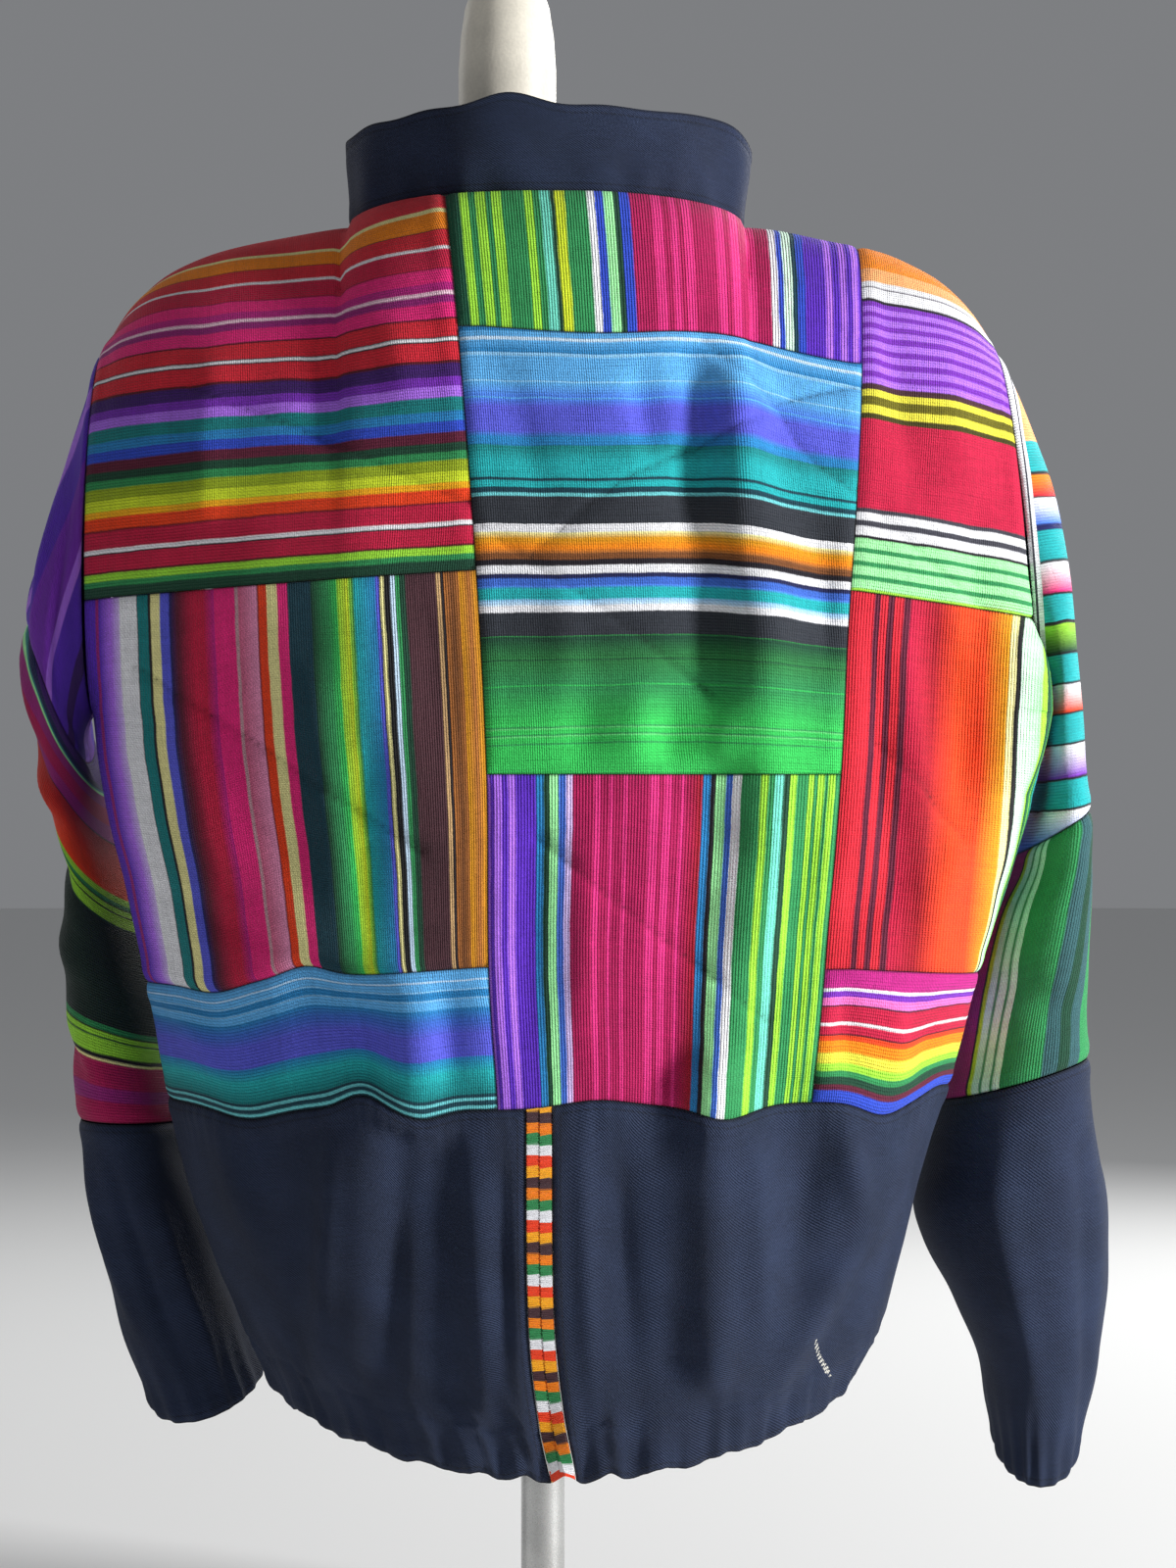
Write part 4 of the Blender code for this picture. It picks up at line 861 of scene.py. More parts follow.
# Yarn colours, as sRGB
YARN = {
    "cerise": (170, 14, 82), "rose": (216, 44, 122), "crimson": (194, 22, 64),
    "red": (214, 34, 52), "dark red": (92, 12, 30),
    "hot pink": (236, 36, 124), "magenta": (186, 30, 128), "pink": (238, 112, 190),
    "purple magenta": (150, 30, 118), "pink white": (246, 206, 222),
    "rose grey": (196, 150, 160), "dusty pink": (206, 96, 132), "pinkish": (236, 150, 190),
    "orange red": (240, 66, 20), "orange": (246, 136, 6), "yellow orange": (250, 176, 20),
    "peach": (255, 176, 110), "cream": (240, 232, 160), "white": (236, 236, 240),
    "lime": (156, 222, 58), "bright lime": (206, 224, 40), "olive lime": (150, 170, 26),
    "olive": (104, 98, 10), "olive dark": (66, 60, 12), "yellow": (232, 222, 66),
    "green": (44, 140, 80), "bright green": (52, 196, 88), "mid green": (40, 120, 62),
    "dark green": (18, 66, 46), "deep green": (14, 84, 58), "green black": (20, 40, 34),
    "mint green": (104, 222, 124), "mint": (160, 242, 164),
    "white mint": (214, 246, 222), "teal mint": (110, 214, 190),
    "teal": (14, 124, 126), "dark teal": (12, 60, 74), "light teal": (110, 205, 210),
    "turquoise": (28, 172, 176), "cyan blue": (36, 128, 190), "sky": (92, 172, 232),
    "pale sky": (140, 198, 240), "pale": (196, 222, 244), "mid blue": (60, 104, 200),
    "blue": (44, 74, 196), "cornflower": (76, 128, 232), "periwinkle": (88, 92, 214),
    "slate": (46, 88, 92), "navy": (24, 30, 78), "dark blue": (20, 26, 92),
    "violet": (88, 38, 184), "dark violet": (62, 22, 104),
    "purple": (120, 44, 180), "lilac": (174, 110, 236), "lilac white": (214, 190, 244),
    "burgundy": (92, 20, 48), "plum": (70, 38, 46), "brown": (122, 72, 34),
    "copper": (172, 104, 44), "tan": (196, 158, 110), "golden": (220, 150, 16),
    "charcoal": (44, 48, 56), "dark": (26, 20, 30), "black": (16, 16, 20),
    "grey": (120, 116, 124), "dark crimson": (160, 14, 34), "dark grey": (60, 60, 70),
    "chalk": (206, 204, 196),
}

# Stripes of each cloth, with their widths. "a>b" is a shaded stripe, from a to b.
STRIPES = {
    # from the lower seam up, in millimetres
    "left_upper": "dark green 5.6, green 3.1, lime 4, dark red 1.1, crimson 9, dark .8, white 2.3, "
        "crimson 9.2, dark red .8, orange red 6.6, yellow orange 3.5, bright lime 5.7, "
        "olive lime 6.2, green 4.6, dark green 4.6, burgundy 5.7, blue 5.7, "
        "cyan blue 5.2, teal 7.3, lilac 5.8, purple 5.2, dark violet 7.4, dark red 1.6, "
        "red 9.9, dark .8, white 1.9, dark .6, red 9.4, dark red 1.1, hot pink 8.2, "
        "purple magenta 4.4, pink white 2.3, magenta 5, hot pink 8, dark red .6, "
        "crimson 11.8, white 2.1, red 10.4, dark red .7, orange 12.7, cream 3.3, "
        "red 60",
    "middle_middle": "bright green 26, green 1.5, bright green 6, mint green 1.2, green 1.5, "
        "bright green 5, mint green 1.2, green 1.5, bright green>green 39, "
        "bright green 1, green>mid green 24, dark green 1, mid green>dark green 22, "
        "mid green 1.2, charcoal 23, white 6.5, pale>pale sky 6, "
        "turquoise 9.5, turquoise>cornflower 4, mid blue 7, navy 4.5, white 8, "
        "dark 6, brown 6, copper>orange 6, orange>golden 8, golden>cream 7, "
        "white 8, charcoal 27, light teal 3.2, dark teal 5.5, turquoise 6.5, "
        "dark teal 3, turquoise 14, turquoise>teal 18, cyan blue 7, "
        "cyan blue>periwinkle 8, periwinkle 22, periwinkle>cornflower 9, sky 1.2, "
        "cornflower>sky 15, pale sky 1.5, sky 24, pale sky 3.4, cyan blue>sky 12, "
        "pale 3.4, sky 6, cyan blue 5",
    "left_lower": "dark teal 15, light teal 22, dark teal 35, light teal 20, dark teal 24, "
        "teal>turquoise 150, turquoise>cyan blue 110, periwinkle 150, "
        "periwinkle>mid blue 100, mid blue>cyan blue 90, sky 60, pale sky 9, "
        "cyan blue 52, pale sky 9, sky 54, pale 9, sky 71",
    "right_upper": "lime 1.4, mint 4.6, green 2.5, mint 4.7, green 2.6, mint 4.6, green 2.4, "
        "mint 5, dark 1.7, white 4.8, dark grey 3.2, white 4.3, dark grey 2.3, "
        "crimson 49, olive dark 3, yellow 4.8, olive 5, yellow 4, plum 3.6, "
        "lilac 3.9, purple 3.5, lilac 4.2, purple 3.6, lilac 4, purple 3.3, "
        "lilac 4.3, purple 3.8, lilac 4, purple 3.6, lilac 4.1, purple 3.5, lilac 4.1, "
        "purple 3.6, dark 2.3, white 8.5, grey 1.3, white 4.5, peach 12, orange 70",
    "right_lower": "blue 6.5, burgundy 3, dark green 4, green 3, lime 4, yellow 5.5, orange 6, "
        "orange red 2.5, dark .7, crimson 4.5, white 1.6, crimson 8, dark .8, pink 4, "
        "purple 3, white 1.5, magenta 9.5",
    # from left to right, in millimetres
    "right_middle": "red 13.5, burgundy 3.3, red 4.1, burgundy 3.5, red 4.9, burgundy 3.8, "
        "crimson>dark crimson 14.6, dark crimson>orange red 14, orange red 13, "
        "orange red>golden 14, cream 3.8, black 3, white mint>mint 12, lime 3, "
        "dark green>green 10, lime 2, green 9, turquoise 12, dark 2, "
        "crimson 12, orange red 9, cream 3, magenta 60",
    # from left to right, in any unit
    "left_middle": "violet 30, purple magenta 8, violet>lilac 30, lilac>lilac white 26, white 46, "
        "dark 2, teal 27, dark 7, cream 25, periwinkle 25, dark blue>burgundy 22, "
        "burgundy>crimson 46, crimson 22, crimson>magenta 30, hot pink 55, rose grey 9, "
        "dusty pink>pinkish 50, dark red 3, orange red 22, cream 28, hot pink 28, "
        "dark teal 62, dark green>green 44, green>bright green 26, lime>bright lime 30, "
        "lime>green 14, turquoise>cyan blue 58, periwinkle 10, dark 3, cream 10, "
        "black 17, pale 13, green 12, dark green 16, plum 80, tan 12, dark 8, "
        "copper>brown 20, brown>copper 20, golden>copper 26, copper>golden 22",
    "middle_upper": "deep green 45, lime 30, green 25, lime 35, green 20, lime 35, green 80, "
        "lime 30, green 25, teal mint 35, dark green 15, bright lime 35, green 78, "
        "white 27, blue 30, mint 35, dark green 20, blue 35, cerise 75, rose 35, "
        "cerise 25, rose 25, cerise 20, rose 30, cerise 80, rose 30, cerise 20, "
        "rose 30, cerise 25, rose 30, cerise 50, white 25, blue 20, white mint 30, "
        "dark teal 18, blue 27, violet 70, lilac 25, violet 25, lilac 25, violet 20, "
        "lilac 20, violet 10",
    "middle_lower": "lilac 10, violet 15, lilac 30, violet 25, lilac 30, violet 80, cyan blue 30, "
        "dark green 23, mint 34, mid blue 28, lilac white 25, cerise 85, "
        "rose 25, cerise 35, rose 15, cerise 40, rose 15, cerise 85, "
        "rose 35, cerise 20, rose 30, cerise 35, rose 15, cerise>dark crimson 70, "
        "cyan blue 30, dark 20, mint 40, mid blue 25, white 35, green 75, lime 30, "
        "green 25, teal mint 35, dark green 25, lime 25, green 45, lime 20, green 15, "
        "lime 25, green 15, lime 25, green 20",
    "front_upper": "crimson 24, white 3, crimson 14, dark .8, orange 12, yellow 5, lime 6, "
        "green 12, teal 10, blue 12, dark .8, lilac 8, purple 14, dark red 1, "
        "red 16, white 3, red 20, hot pink 12, magenta 8, pink 4, magenta 30",
    "front_middle": "violet 60, lilac 20, white 16, blue 40, turquoise 50, teal 24, dark 10, "
        "yellow 14, green 60, lime 20, green 40, white 12, crimson 80, pink 16, "
        "crimson 60, orange red 30, orange 40, cream 10, black 14, periwinkle 70",
    "front_lower": "green 14, lime 4, green 9, dark 1, white 4, charcoal 10, white 3, sky 12, "
        "cornflower 12, periwinkle 9, navy 4, white 3, crimson 26, dark red 2, "
        "orange 8, golden 5, brown 4, teal 10, turquoise 14",
    # from the cuff side up the arm, in millimetres
    "sleeve_left_middle": "cerise 12, purple magenta 8, cerise 15, cream 1.6, dark 2.6, lime 9, "
        "dark green 1, lime 3, dark 1, green 3.4, dark 1, green black 68, "
        "dark green 1.5, lime 8, dark 1, lime 4, dark 1, green 3, lime 5, "
        "orange red>dark crimson 42, dark 1.2, purple magenta 14, cerise 16, "
        "purple magenta 12, mint 3, teal 2.5, navy 7, dark violet 60",
    "sleeve_right_upper": "cornflower>white 17.8, dark 1.4, turquoise 14.8, dark 1.4, "
        "purple>white 17.8, dark 1.2, turquoise 15, dark 1.2, "
        "orange red>white 15.1, dark 1.2, turquoise 15.1, dark 1.2, "
        "dark green>lime 15.1, dark 2, turquoise 14, dark 1.4, "
        "hot pink>white 16.2, dark 1.6, turquoise 16.2, dark blue 3.6, "
        "cornflower>white 14.6, dark .8, red>orange 12, dark 2, "
        "turquoise 17.3, peach 60",
    # round the arm, in any unit
    "sleeve_left_upper": "violet 30, lilac 9, violet 18, purple 26, lilac 7, violet 24, "
        "dark violet 12, violet 30, lilac 10, purple 22, violet 28, lilac 8, "
        "violet 26, dark violet 14, purple 20, lilac 9, violet 22",
    "sleeve_right_middle": "green 130, mid green 70, lime 20, deep green 90, green 110, "
        "dark green 80, magenta 120, dark 6, bright lime 10, white mint 18, "
        "green 6, white mint 18, green 6, white mint 14, green 77, "
        "slate 30, dark green 24, slate 29, green 70, deep green 80",
}

# Which cloths have their stripes running up and down
UPRIGHT = {"left_middle", "middle_upper", "middle_lower", "right_middle", "front_middle",
           "sleeve_left_upper", "sleeve_right_middle"}
# Which of these are cut off at one side, the stripes keeping their widths from the other seam
CUT_OFF = {"right_middle"}
# Which cloths have level stripes, and how far these arch up at the middle
LEVEL = {"middle_middle": 0.0026, "left_lower": 0.0, "right_lower": 0.0}
# Which cloths keep their stripes' true widths, measured from the lower seam
FROM_SEAM = {"left_upper", "right_upper", "sleeve_right_upper", "sleeve_left_middle",
             "front_upper"}

# Stripes that one colour ramp holds, and half the width of a soft edge
STRIPES_A_RAMP = 14
EDGE = 0.00034

# Threads to a metre of cloth, across its stripes and along them
Threads = namedtuple("Threads", "across along")
STREAK = Threads(1900.0, 40.0)
WEFT = Threads(240.0, 1500.0)
SLUB = Threads(7.0, 330.0)
DOTS = Threads(3100.0, 2300.0)
RIB = Threads(3900.0, 5200.0)

# Coarser unevenness to a metre: worn patches, wandering stripes and their frayed edges
PATCH_SCALE = 21.0
DRIFT_SCALE = 34.0
FRAY_SCALE = 520.0
FRAY = 0.0004

# Lightness of woven cloth: a base, and the share of each unevenness
Light = namedtuple("Light", "base streak weft patch slub dots")
LIGHT = Light(0.38, 0.36, 0.38, 0.26, 0.30, 0.075)

# Shaded lines on the cloth: how far from its middle each starts and ends to fade, and its strength
Shade = namedtuple("Shade", "start end strength")
# Seams: darker thread, with painted shade in the sunk trench of the seam
SEAM_SHADE = Shade(0.0001, 0.0011, 0.55)
STITCH_SHADE = Shade(0.0003, 0.0009, 0.45)
# Quilting hollows: painted shade where the cloth sinks along a quilting line
HOLLOW_SHADE = Shade(0.0, 0.0032, 0.25)
# Canvas seams: darker thread, with painted shade in the sunk trench of the seam
CANVAS_SEAM_SHADE = Shade(0.0003, 0.0018, 0.6)
TOP_STITCH_SHADE = Shade(0.0003, 0.0008, 0.45)

# Woven edge at the top of the right sleeve: end of the pale strip, and the grey line in it
TRIM_END = (0.0148, 0.0152)
TRIM_LINE = (0.0058, 0.0086)

# How far from its middle the pale mark ends
MARK_END = (0.0011, 0.0016)


def linear(colour):
    """An sRGB colour from 0 to 255 as the renderer's own numbers."""
    parts = [c / 255 for c in colour]
    parts = [c / 12.92 if c <= 0.04045 else ((c + 0.055) / 1.055) ** 2.4 for c in parts]
    return (*parts, 1.0)


class Line:
    """A shader socket that is reckoned with like a number."""

    def __init__(self, look, socket):
        self.look = look
        self.socket = socket

    def sum(self, operation, *values):
        inputs = dict(enumerate(values))
        return self.look.node("ShaderNodeMath", {"operation": operation}, inputs)[0]

    def __add__(self, other):
        return self.sum("ADD", self, other)

    def __radd__(self, other):
        return self.sum("ADD", other, self)

    def __sub__(self, other):
        return self.sum("SUBTRACT", self, other)

    def __rsub__(self, other):
        return self.sum("SUBTRACT", other, self)

    def __mul__(self, other):
        return self.sum("MULTIPLY", self, other)

    def __truediv__(self, other):
        return self.sum("DIVIDE", self, other)

    def __abs__(self):
        return self.sum("ABSOLUTE", self)

    def __gt__(self, other):
        return self.sum("GREATER_THAN", self, other)

    def __lt__(self, other):
        return self.sum("LESS_THAN", self, other)

    def sine(self):
        return self.sum("SINE", self)

    def part(self):
        return self.sum("FRACT", self)

    def near(self, shade):
        """1 in the middle of a shaded line, 0 beyond its end."""
        return 1 - self.span(shade.start, shade.end)

    def span(self, low, high):
        """0 below one value, 1 above another, smooth between them."""
        return self.look.node("ShaderNodeMapRange",
                              {"interpolation_type": "SMOOTHSTEP", "clamp": True},
                              {0: self, 1: low, 2: high, 3: 0.0, 4: 1.0})[0]


class Look:
    """A material in the making."""

    def __init__(self, name, colour, roughness, metallic=0.0, sheen=0.0):
        self.material = bpy.data.materials.new(name)
        self.material.use_nodes = True
        self.material.diffuse_color = colour
        self.tree = self.material.node_tree
        self.shader = self.tree.nodes["Principled BSDF"]
        self.shader.inputs["Base Color"].default_value = colour
        self.shader.inputs["Roughness"].default_value = roughness
        self.shader.inputs["Metallic"].default_value = metallic
        self.shader.inputs["Sheen Weight"].default_value = sheen
        self.shader.inputs["Sheen Roughness"].default_value = 0.45
        if not metallic:
            self.shader.inputs["Specular IOR Level"].default_value = 0.3
        self.bumps = None

    def set(self, socket, value):
        if isinstance(value, Line):
            self.tree.links.new(value.socket, socket)
        else:
            socket.default_value = value

    def node(self, kind, settings=None, values=None):
        """Any node: its settings first, then its sockets. Returns its outputs."""
        made = self.tree.nodes.new(kind)
        for name, value in (settings or {}).items():
            if name == "stops":
                self.stops(made.color_ramp, value)
            else:
                setattr(made, name, value)
        for name, value in (values or {}).items():
            self.set(made.inputs[name], value)
        return [Line(self, socket) for socket in made.outputs]

    def stops(self, ramp, stops):
        ramp.interpolation = "LINEAR"
        while len(ramp.elements) < len(stops):
            ramp.elements.new(1.0)
        for element, (place, _) in zip(ramp.elements, stops):
            element.position = place
        for element, (_, colour) in zip(ramp.elements, stops):
            element.color = colour

    def mix(self, factor, first, second, blend="MIX"):
        return self.node("ShaderNodeMix", {"data_type": "RGBA", "blend_type": blend},
                         {0: factor, 6: first, 7: second})[2]

    def chart(self):
        """The two places of the piece's own UV map, in metres of cloth."""
        uv = self.node("ShaderNodeUVMap", {"uv_map": "cloth"})[0]
        across, up, _ = self.node("ShaderNodeSeparateXYZ", None, {0: uv})
        return across, up

    def grey(self, light):
        return self.node("ShaderNodeCombineColor", None, {i: light for i in range(3)})[0]

    def spot(self, x, y, z=0.0):
        return self.node("ShaderNodeCombineXYZ", None, {0: x, 1: y, 2: z})[0]

    def here(self):
        return self.node("ShaderNodeTexCoord")[3]

    def noise(self, vector, scale, detail=2.0, rough=0.5):
        return self.node("ShaderNodeTexNoise", {"noise_dimensions": "3D"},
                         {"Vector": vector, "Scale": scale, "Detail": detail,
                          "Roughness": rough})[0]

    def attribute(self, name):
        return self.node("ShaderNodeAttribute", {"attribute_name": name})[2]

    def bump(self, height, distance, strength=1.0):
        values = {"Strength": strength, "Distance": distance, "Height": height}
        if self.bumps is not None:
            values["Normal"] = self.bumps
        self.bumps = self.node("ShaderNodeBump", None, values)[0]

    def finish(self, colour=None, roughness=None):
        if colour is not None:
            self.set(self.shader.inputs["Base Color"], colour)
        if roughness is not None:
            self.set(self.shader.inputs["Roughness"], roughness)
        if self.bumps is not None:
            self.set(self.shader.inputs["Normal"], self.bumps)
        return self.material


def stripe_list(cloth, total=None):
    """The stripes of a cloth as (start, end, first colour, last colour), in metres."""
    bands = []
    place = 0.0
    for word in STRIPES[cloth].split(","):
        names, width = word.strip().rsplit(" ", 1)
        first, _, last = names.partition(">")
        bands.append((place, place + float(width), first, last or first))
        place += float(width)
    unit = total / place if total else 0.001
    return [(a * unit, b * unit, linear(YARN[c]), linear(YARN[d])) for a, b, c, d in bands]


def stripes(look, place, bands):
    """Colour of the stripes at a place across them."""
    colour = None
    for first in range(0, len(bands), STRIPES_A_RAMP):
        group = bands[first:first + STRIPES_A_RAMP]
        start, end = group[0][0], group[-1][1]
        size = end - start
        soft = EDGE / size
        stops = []
        for low, high, near, far in group:
            stops.append(((low - start) / size + soft, near))
            stops.append(((high - start) / size - soft, far))
        ramp = look.node("ShaderNodeValToRGB", {"stops": stops},
                         {0: (place - start) * (1 / size)})[0]
        colour = ramp if colour is None else look.mix(place > start, colour, ramp)
    return colour


def woven(cloth, size, trim=False):
    """Striped hand-woven cotton, by the size of its piece."""
    upright = cloth in UPRIGHT
    total = None if cloth in FROM_SEAM | CUT_OFF else size[0 if upright else 1]
    look = Look(cloth, linear(YARN["crimson"]), cloth_settings().roughness, 0.0,
                cloth_settings().sheen)
    across, up = look.chart()
    run, length = (across, up) if upright else (up, across)
    drift = look.noise(look.spot(across, up), DRIFT_SCALE, 3.0) - 0.5
    fray = look.noise(look.spot(across, up), FRAY_SCALE, 1.0) - 0.5
    place = run + drift * cloth_settings().drift + fray * FRAY
    colour = stripes(look, place, stripe_list(cloth, total))
    if trim:
        edge = look.attribute("top")
        strip = edge.span(*TRIM_END)
        pale = linear(YARN["white"])
        grey = linear(YARN["dark grey"])
        line = (edge > TRIM_LINE[0]) * (edge < TRIM_LINE[1])
        colour = look.mix(strip, look.mix(line, pale, grey), colour)
    return woven_finish(look, colour, run, length)


def woven_finish(look, colour, run, length):
    """Thread streaks, weave, seams and quilting of a cloth."""
    settings = cloth_settings()
    streak = look.noise(look.spot(run * STREAK.across, length * STREAK.along), 1.0, 2.0)
    weft = look.noise(look.spot(run * WEFT.across, length * WEFT.along), 1.0, 1.0)
    patch = look.noise(look.spot(run, length), PATCH_SCALE, 3.0)
    slub = look.noise(look.spot(length * SLUB.along, run * SLUB.across), 1.0, 2.0)
    dots = (run * DOTS.across + length * DOTS.along).sine() * LIGHT.dots
    light = LIGHT.base + streak * LIGHT.streak + weft * LIGHT.weft + patch * LIGHT.patch
    light = light + slub * LIGHT.slub + dots
    colour = look.mix(1.0, colour, look.grey(light), "MULTIPLY")
    quilt = look.attribute("quilt")
    # painted shade in each seam's trench, with its darker thread
    shade = 1 - look.attribute("seam").near(SEAM_SHADE) * SEAM_SHADE.strength
    dash = (look.attribute("pace") * QUILT_STITCHES).part() < QUILT_STITCH_SHARE
    stitch = dash * quilt.near(STITCH_SHADE)
    # painted shade in the hollow along each quilting line
    hollow = quilt.near(HOLLOW_SHADE)
    shade = shade * (1 - stitch * STITCH_SHADE.strength) * (1 - hollow * HOLLOW_SHADE.strength)
    colour = look.mix(1.0, colour, look.grey(shade), "MULTIPLY")
    rib = (run * RIB.across).sine() * 0.5 + (length * RIB.along).sine() * 0.25
    look.bump(rib + streak * 1.2 + weft * 0.8, settings.weave)
    look.bump(patch, 0.0012, 0.5)
    return look.finish(colour, settings.roughness - streak * 0.12 + weft * 0.06)


def canvas(name, marked=False):
    """Navy cotton canvas, worn a little paler in uneven patches."""
    settings = cloth_settings()
    colour = tuple(settings.canvas_colour) + (1.0,)
    look = Look(name, colour, 0.78, 0.0, settings.sheen * 0.4)
    across, up = look.chart()
    wear = look.noise(look.spot(across, up), 28.0, 4.0)
    grain = look.noise(look.spot(across * 900.0, up * 900.0), 1.0, 2.0)
    slub = look.noise(look.spot(across * 60.0, up * 1300.0), 1.0, 1.0)
    pale = tuple(min(1.0, c * 1.9 + 0.003) for c in settings.canvas_colour) + (1.0,)
    tone = look.mix((wear * 0.55 + grain * 0.35 + slub * 0.25).span(0.35, 0.85), colour, pale)
    seam = look.attribute("seam")
    # painted shade in the canvas seams' trenches, with their darker thread
    shade = 1 - seam.near(CANVAS_SEAM_SHADE) * CANVAS_SEAM_SHADE.strength
    stitch = abs(seam - TOP_STITCH).near(TOP_STITCH_SHADE)
    dash = (look.attribute("pace") * CANVAS_STITCHES).part() < CANVAS_STITCH_SHARE
    shade = shade * (1 - stitch * dash * TOP_STITCH_SHADE.strength)
    tone = look.mix(1.0, tone, look.grey(shade), "MULTIPLY")
    if marked:
        spot = 1 - look.attribute("mark").span(*MARK_END)
        tone = look.mix(spot, tone, linear(YARN["chalk"]))
    twill = ((across + up) * 3600.0).sine()
    look.bump(twill * 0.5 + grain * 1.1 + slub, settings.weave * 0.9)
    look.bump(wear, 0.0015, 0.5)
    return look.finish(tone, 0.86 - grain * 0.14)


def satin_thread():
    """Satin-stitch thread, its colour changing down the seam."""
    look = Look("satin_stitch", linear(YARN["orange"]), 0.42, 0.0, 0.35)
    height = look.attribute("height")
    side = look.attribute("side")
    names = ("white", "green", "orange", "plum", "yellow orange", "orange red")
    size = 1 / len(names)
    stops = []
    for i, name in enumerate(names):
        stops.append((i * size + 0.004, linear(YARN[name])))
        stops.append(((i + 1) * size - 0.004, linear(YARN[name])))
    turn = (height / 0.034 + side * 0.02).part()
    colour = look.node("ShaderNodeValToRGB", {"stops": stops}, {0: turn})[0]
    fleck = look.noise(look.here(), 1400.0, 2.0)
    grey = look.grey(fleck * 0.5 + 0.72)
    look.bump(fleck, 0.0002, 0.6)
    return look.finish(look.mix(1.0, colour, grey, "MULTIPLY"), 0.38 + fleck * 0.2)


def solid_look(name, colour, roughness, metallic, grain, depth):
    """Plain finishes: metal, painted wood, lacquer and the form's cover."""
    look = Look(name, (*colour, 1.0), roughness, metallic)
    here = look.here()
    fine = look.noise(here, grain, 3.0)
    wide = look.noise(here, grain / 14, 3.0)
    dark = tuple(c * 0.80 for c in colour) + (1.0,)
    tone = look.mix((fine * 0.4 + wide * 0.7).span(0.3, 0.8), dark, (*colour, 1.0))
    look.bump(fine, depth, 0.6)
    return look.finish(tone, roughness - 0.06 + fine * 0.12)


class ClothSettings(PropertyGroup):
    thickness: FloatProperty(name="Quilted cloth", description="Thickness of the quilted patches",
                             default=0.0020, min=0.0008, max=0.004, unit="LENGTH")
    canvas: FloatProperty(name="Canvas", description="Thickness of the navy canvas",
                          default=0.0015, min=0.0006, max=0.003, unit="LENGTH")
    crease: FloatProperty(name="Crease depth", description="Size of the smaller creases",
                          default=1.35, min=0.0, max=2.0, subtype="FACTOR")
    drift: FloatProperty(name="Stripe drift", description="How far woven stripes wander",
                         default=0.0018, min=0.0, max=0.01, unit="LENGTH")
    weave: FloatProperty(name="Weave depth", description="Depth of the weave in the light",
                         default=0.00042, min=0.0, max=0.002, unit="LENGTH")
    roughness: FloatProperty(name="Roughness", description="Dullness of the woven cotton",
                             default=0.82, min=0.0, max=1.0, subtype="FACTOR")
    sheen: FloatProperty(name="Sheen", description="Soft light at the edges of the nap",
                         default=0.06, min=0.0, max=1.0, subtype="FACTOR")
    canvas_colour: FloatVectorProperty(name="Canvas colour", description="Colour of the canvas",
                                       default=(0.0088, 0.0158, 0.0400), size=3, subtype="COLOR")


class FormSettings(PropertyGroup):
    cover_colour: FloatVectorProperty(name="Cover colour", description="Cover of the form",
                                      default=(0.80, 0.75, 0.64), size=3, subtype="COLOR")
    wood_colour: FloatVectorProperty(name="Base colour", description="Lacquer of the base",
                                     default=(0.70, 0.64, 0.53), size=3, subtype="COLOR")
    metal_colour: FloatVectorProperty(name="Zip metal", description="Metal of the zip",
                                      default=(0.62, 0.56, 0.44), size=3, subtype="COLOR")


class StageSettings(PropertyGroup):
    floor_colour: FloatVectorProperty(name="Floor colour", description="Colour of the floor",
                                      default=(0.80, 0.80, 0.79), size=3, subtype="COLOR")
    key_power: FloatProperty(name="Key light", description="Strength of the light at the right",
                             default=122.0, min=0.0, max=500.0, unit="POWER")
    fill_power: FloatProperty(name="Fill light", description="Strength of the light at the left",
                              default=3.0, min=0.0, max=500.0, unit="POWER")
    distance: FloatProperty(name="Camera distance", description="From the camera to the jacket",
                            default=2.2, min=0.5, max=10.0, unit="LENGTH")
    frame_height: FloatProperty(name="Frame height", description="Height that the picture shows",
                                default=0.864, min=0.2, max=4.0, unit="LENGTH")


def cloth_settings():
    return bpy.context.scene.jacket_cloth


def form_settings():
    return bpy.context.scene.jacket_form


def stage_settings():
    return bpy.context.scene.jacket_stage


def active_only(piece):
    bpy.ops.object.select_all(action="DESELECT")
    piece.select_set(True)
    bpy.context.view_layer.objects.active = piece


def apply_modifier(piece, kind, **settings):
    active_only(piece)
    modifier = piece.modifiers.new(kind.title(), kind)
    for name, value in settings.items():
        setattr(modifier, name, value)
    bpy.ops.object.modifier_apply(modifier=modifier.name)


def new_piece(name, add, **settings):
    """A primitive with its place in its mesh."""
    bpy.ops.object.select_all(action="DESELECT")
    add(**settings)
    piece = bpy.context.object
    piece.name = name
    piece.data.name = name
    return piece


def bake_place(piece):
    active_only(piece)
    bpy.ops.object.transform_apply(location=True, rotation=True, scale=True)


def soften(piece, angle=50.0):
    active_only(piece)
    bpy.ops.object.shade_smooth_by_angle(angle=math.radians(angle))


def finish_piece(piece, material, replaces=(), body=BODY_NAME):
    piece.data.materials.clear()
    piece.data.materials.append(material)
    if replaces:
        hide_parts(*replaces)
    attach(piece, body)
    return piece


def small_shape(piece):
    """Corners and faces of a small piece that is going to be copied."""
    shape = np.zeros(len(piece.data.vertices) * 3, dtype=np.float32)
    piece.data.vertices.foreach_get("co", shape)
    return shape.reshape(-1, 3), [tuple(face.vertices) for face in piece.data.polygons]


def copies(name, places, faces):
    """A mesh of copies of a small shape, each given by where its corners are."""
    count = len(places[0])
    all_faces = [tuple(v + i * count for v in face) for i in range(len(places)) for face in faces]
    mesh = bpy.data.meshes.new(name)
    flat = np.concatenate(places) - np.array([CENTRE_X, 0.0, 0.0])
    mesh.from_pydata(flat.tolist(), [], all_faces)
    return mesh


def normals(points):
    """Directions square to a grid of points."""
    rise, run = np.gradient(points, axis=(0, 1))
    square = np.cross(run, rise)
    return square / np.maximum(np.linalg.norm(square, axis=-1, keepdims=True), 1e-12)


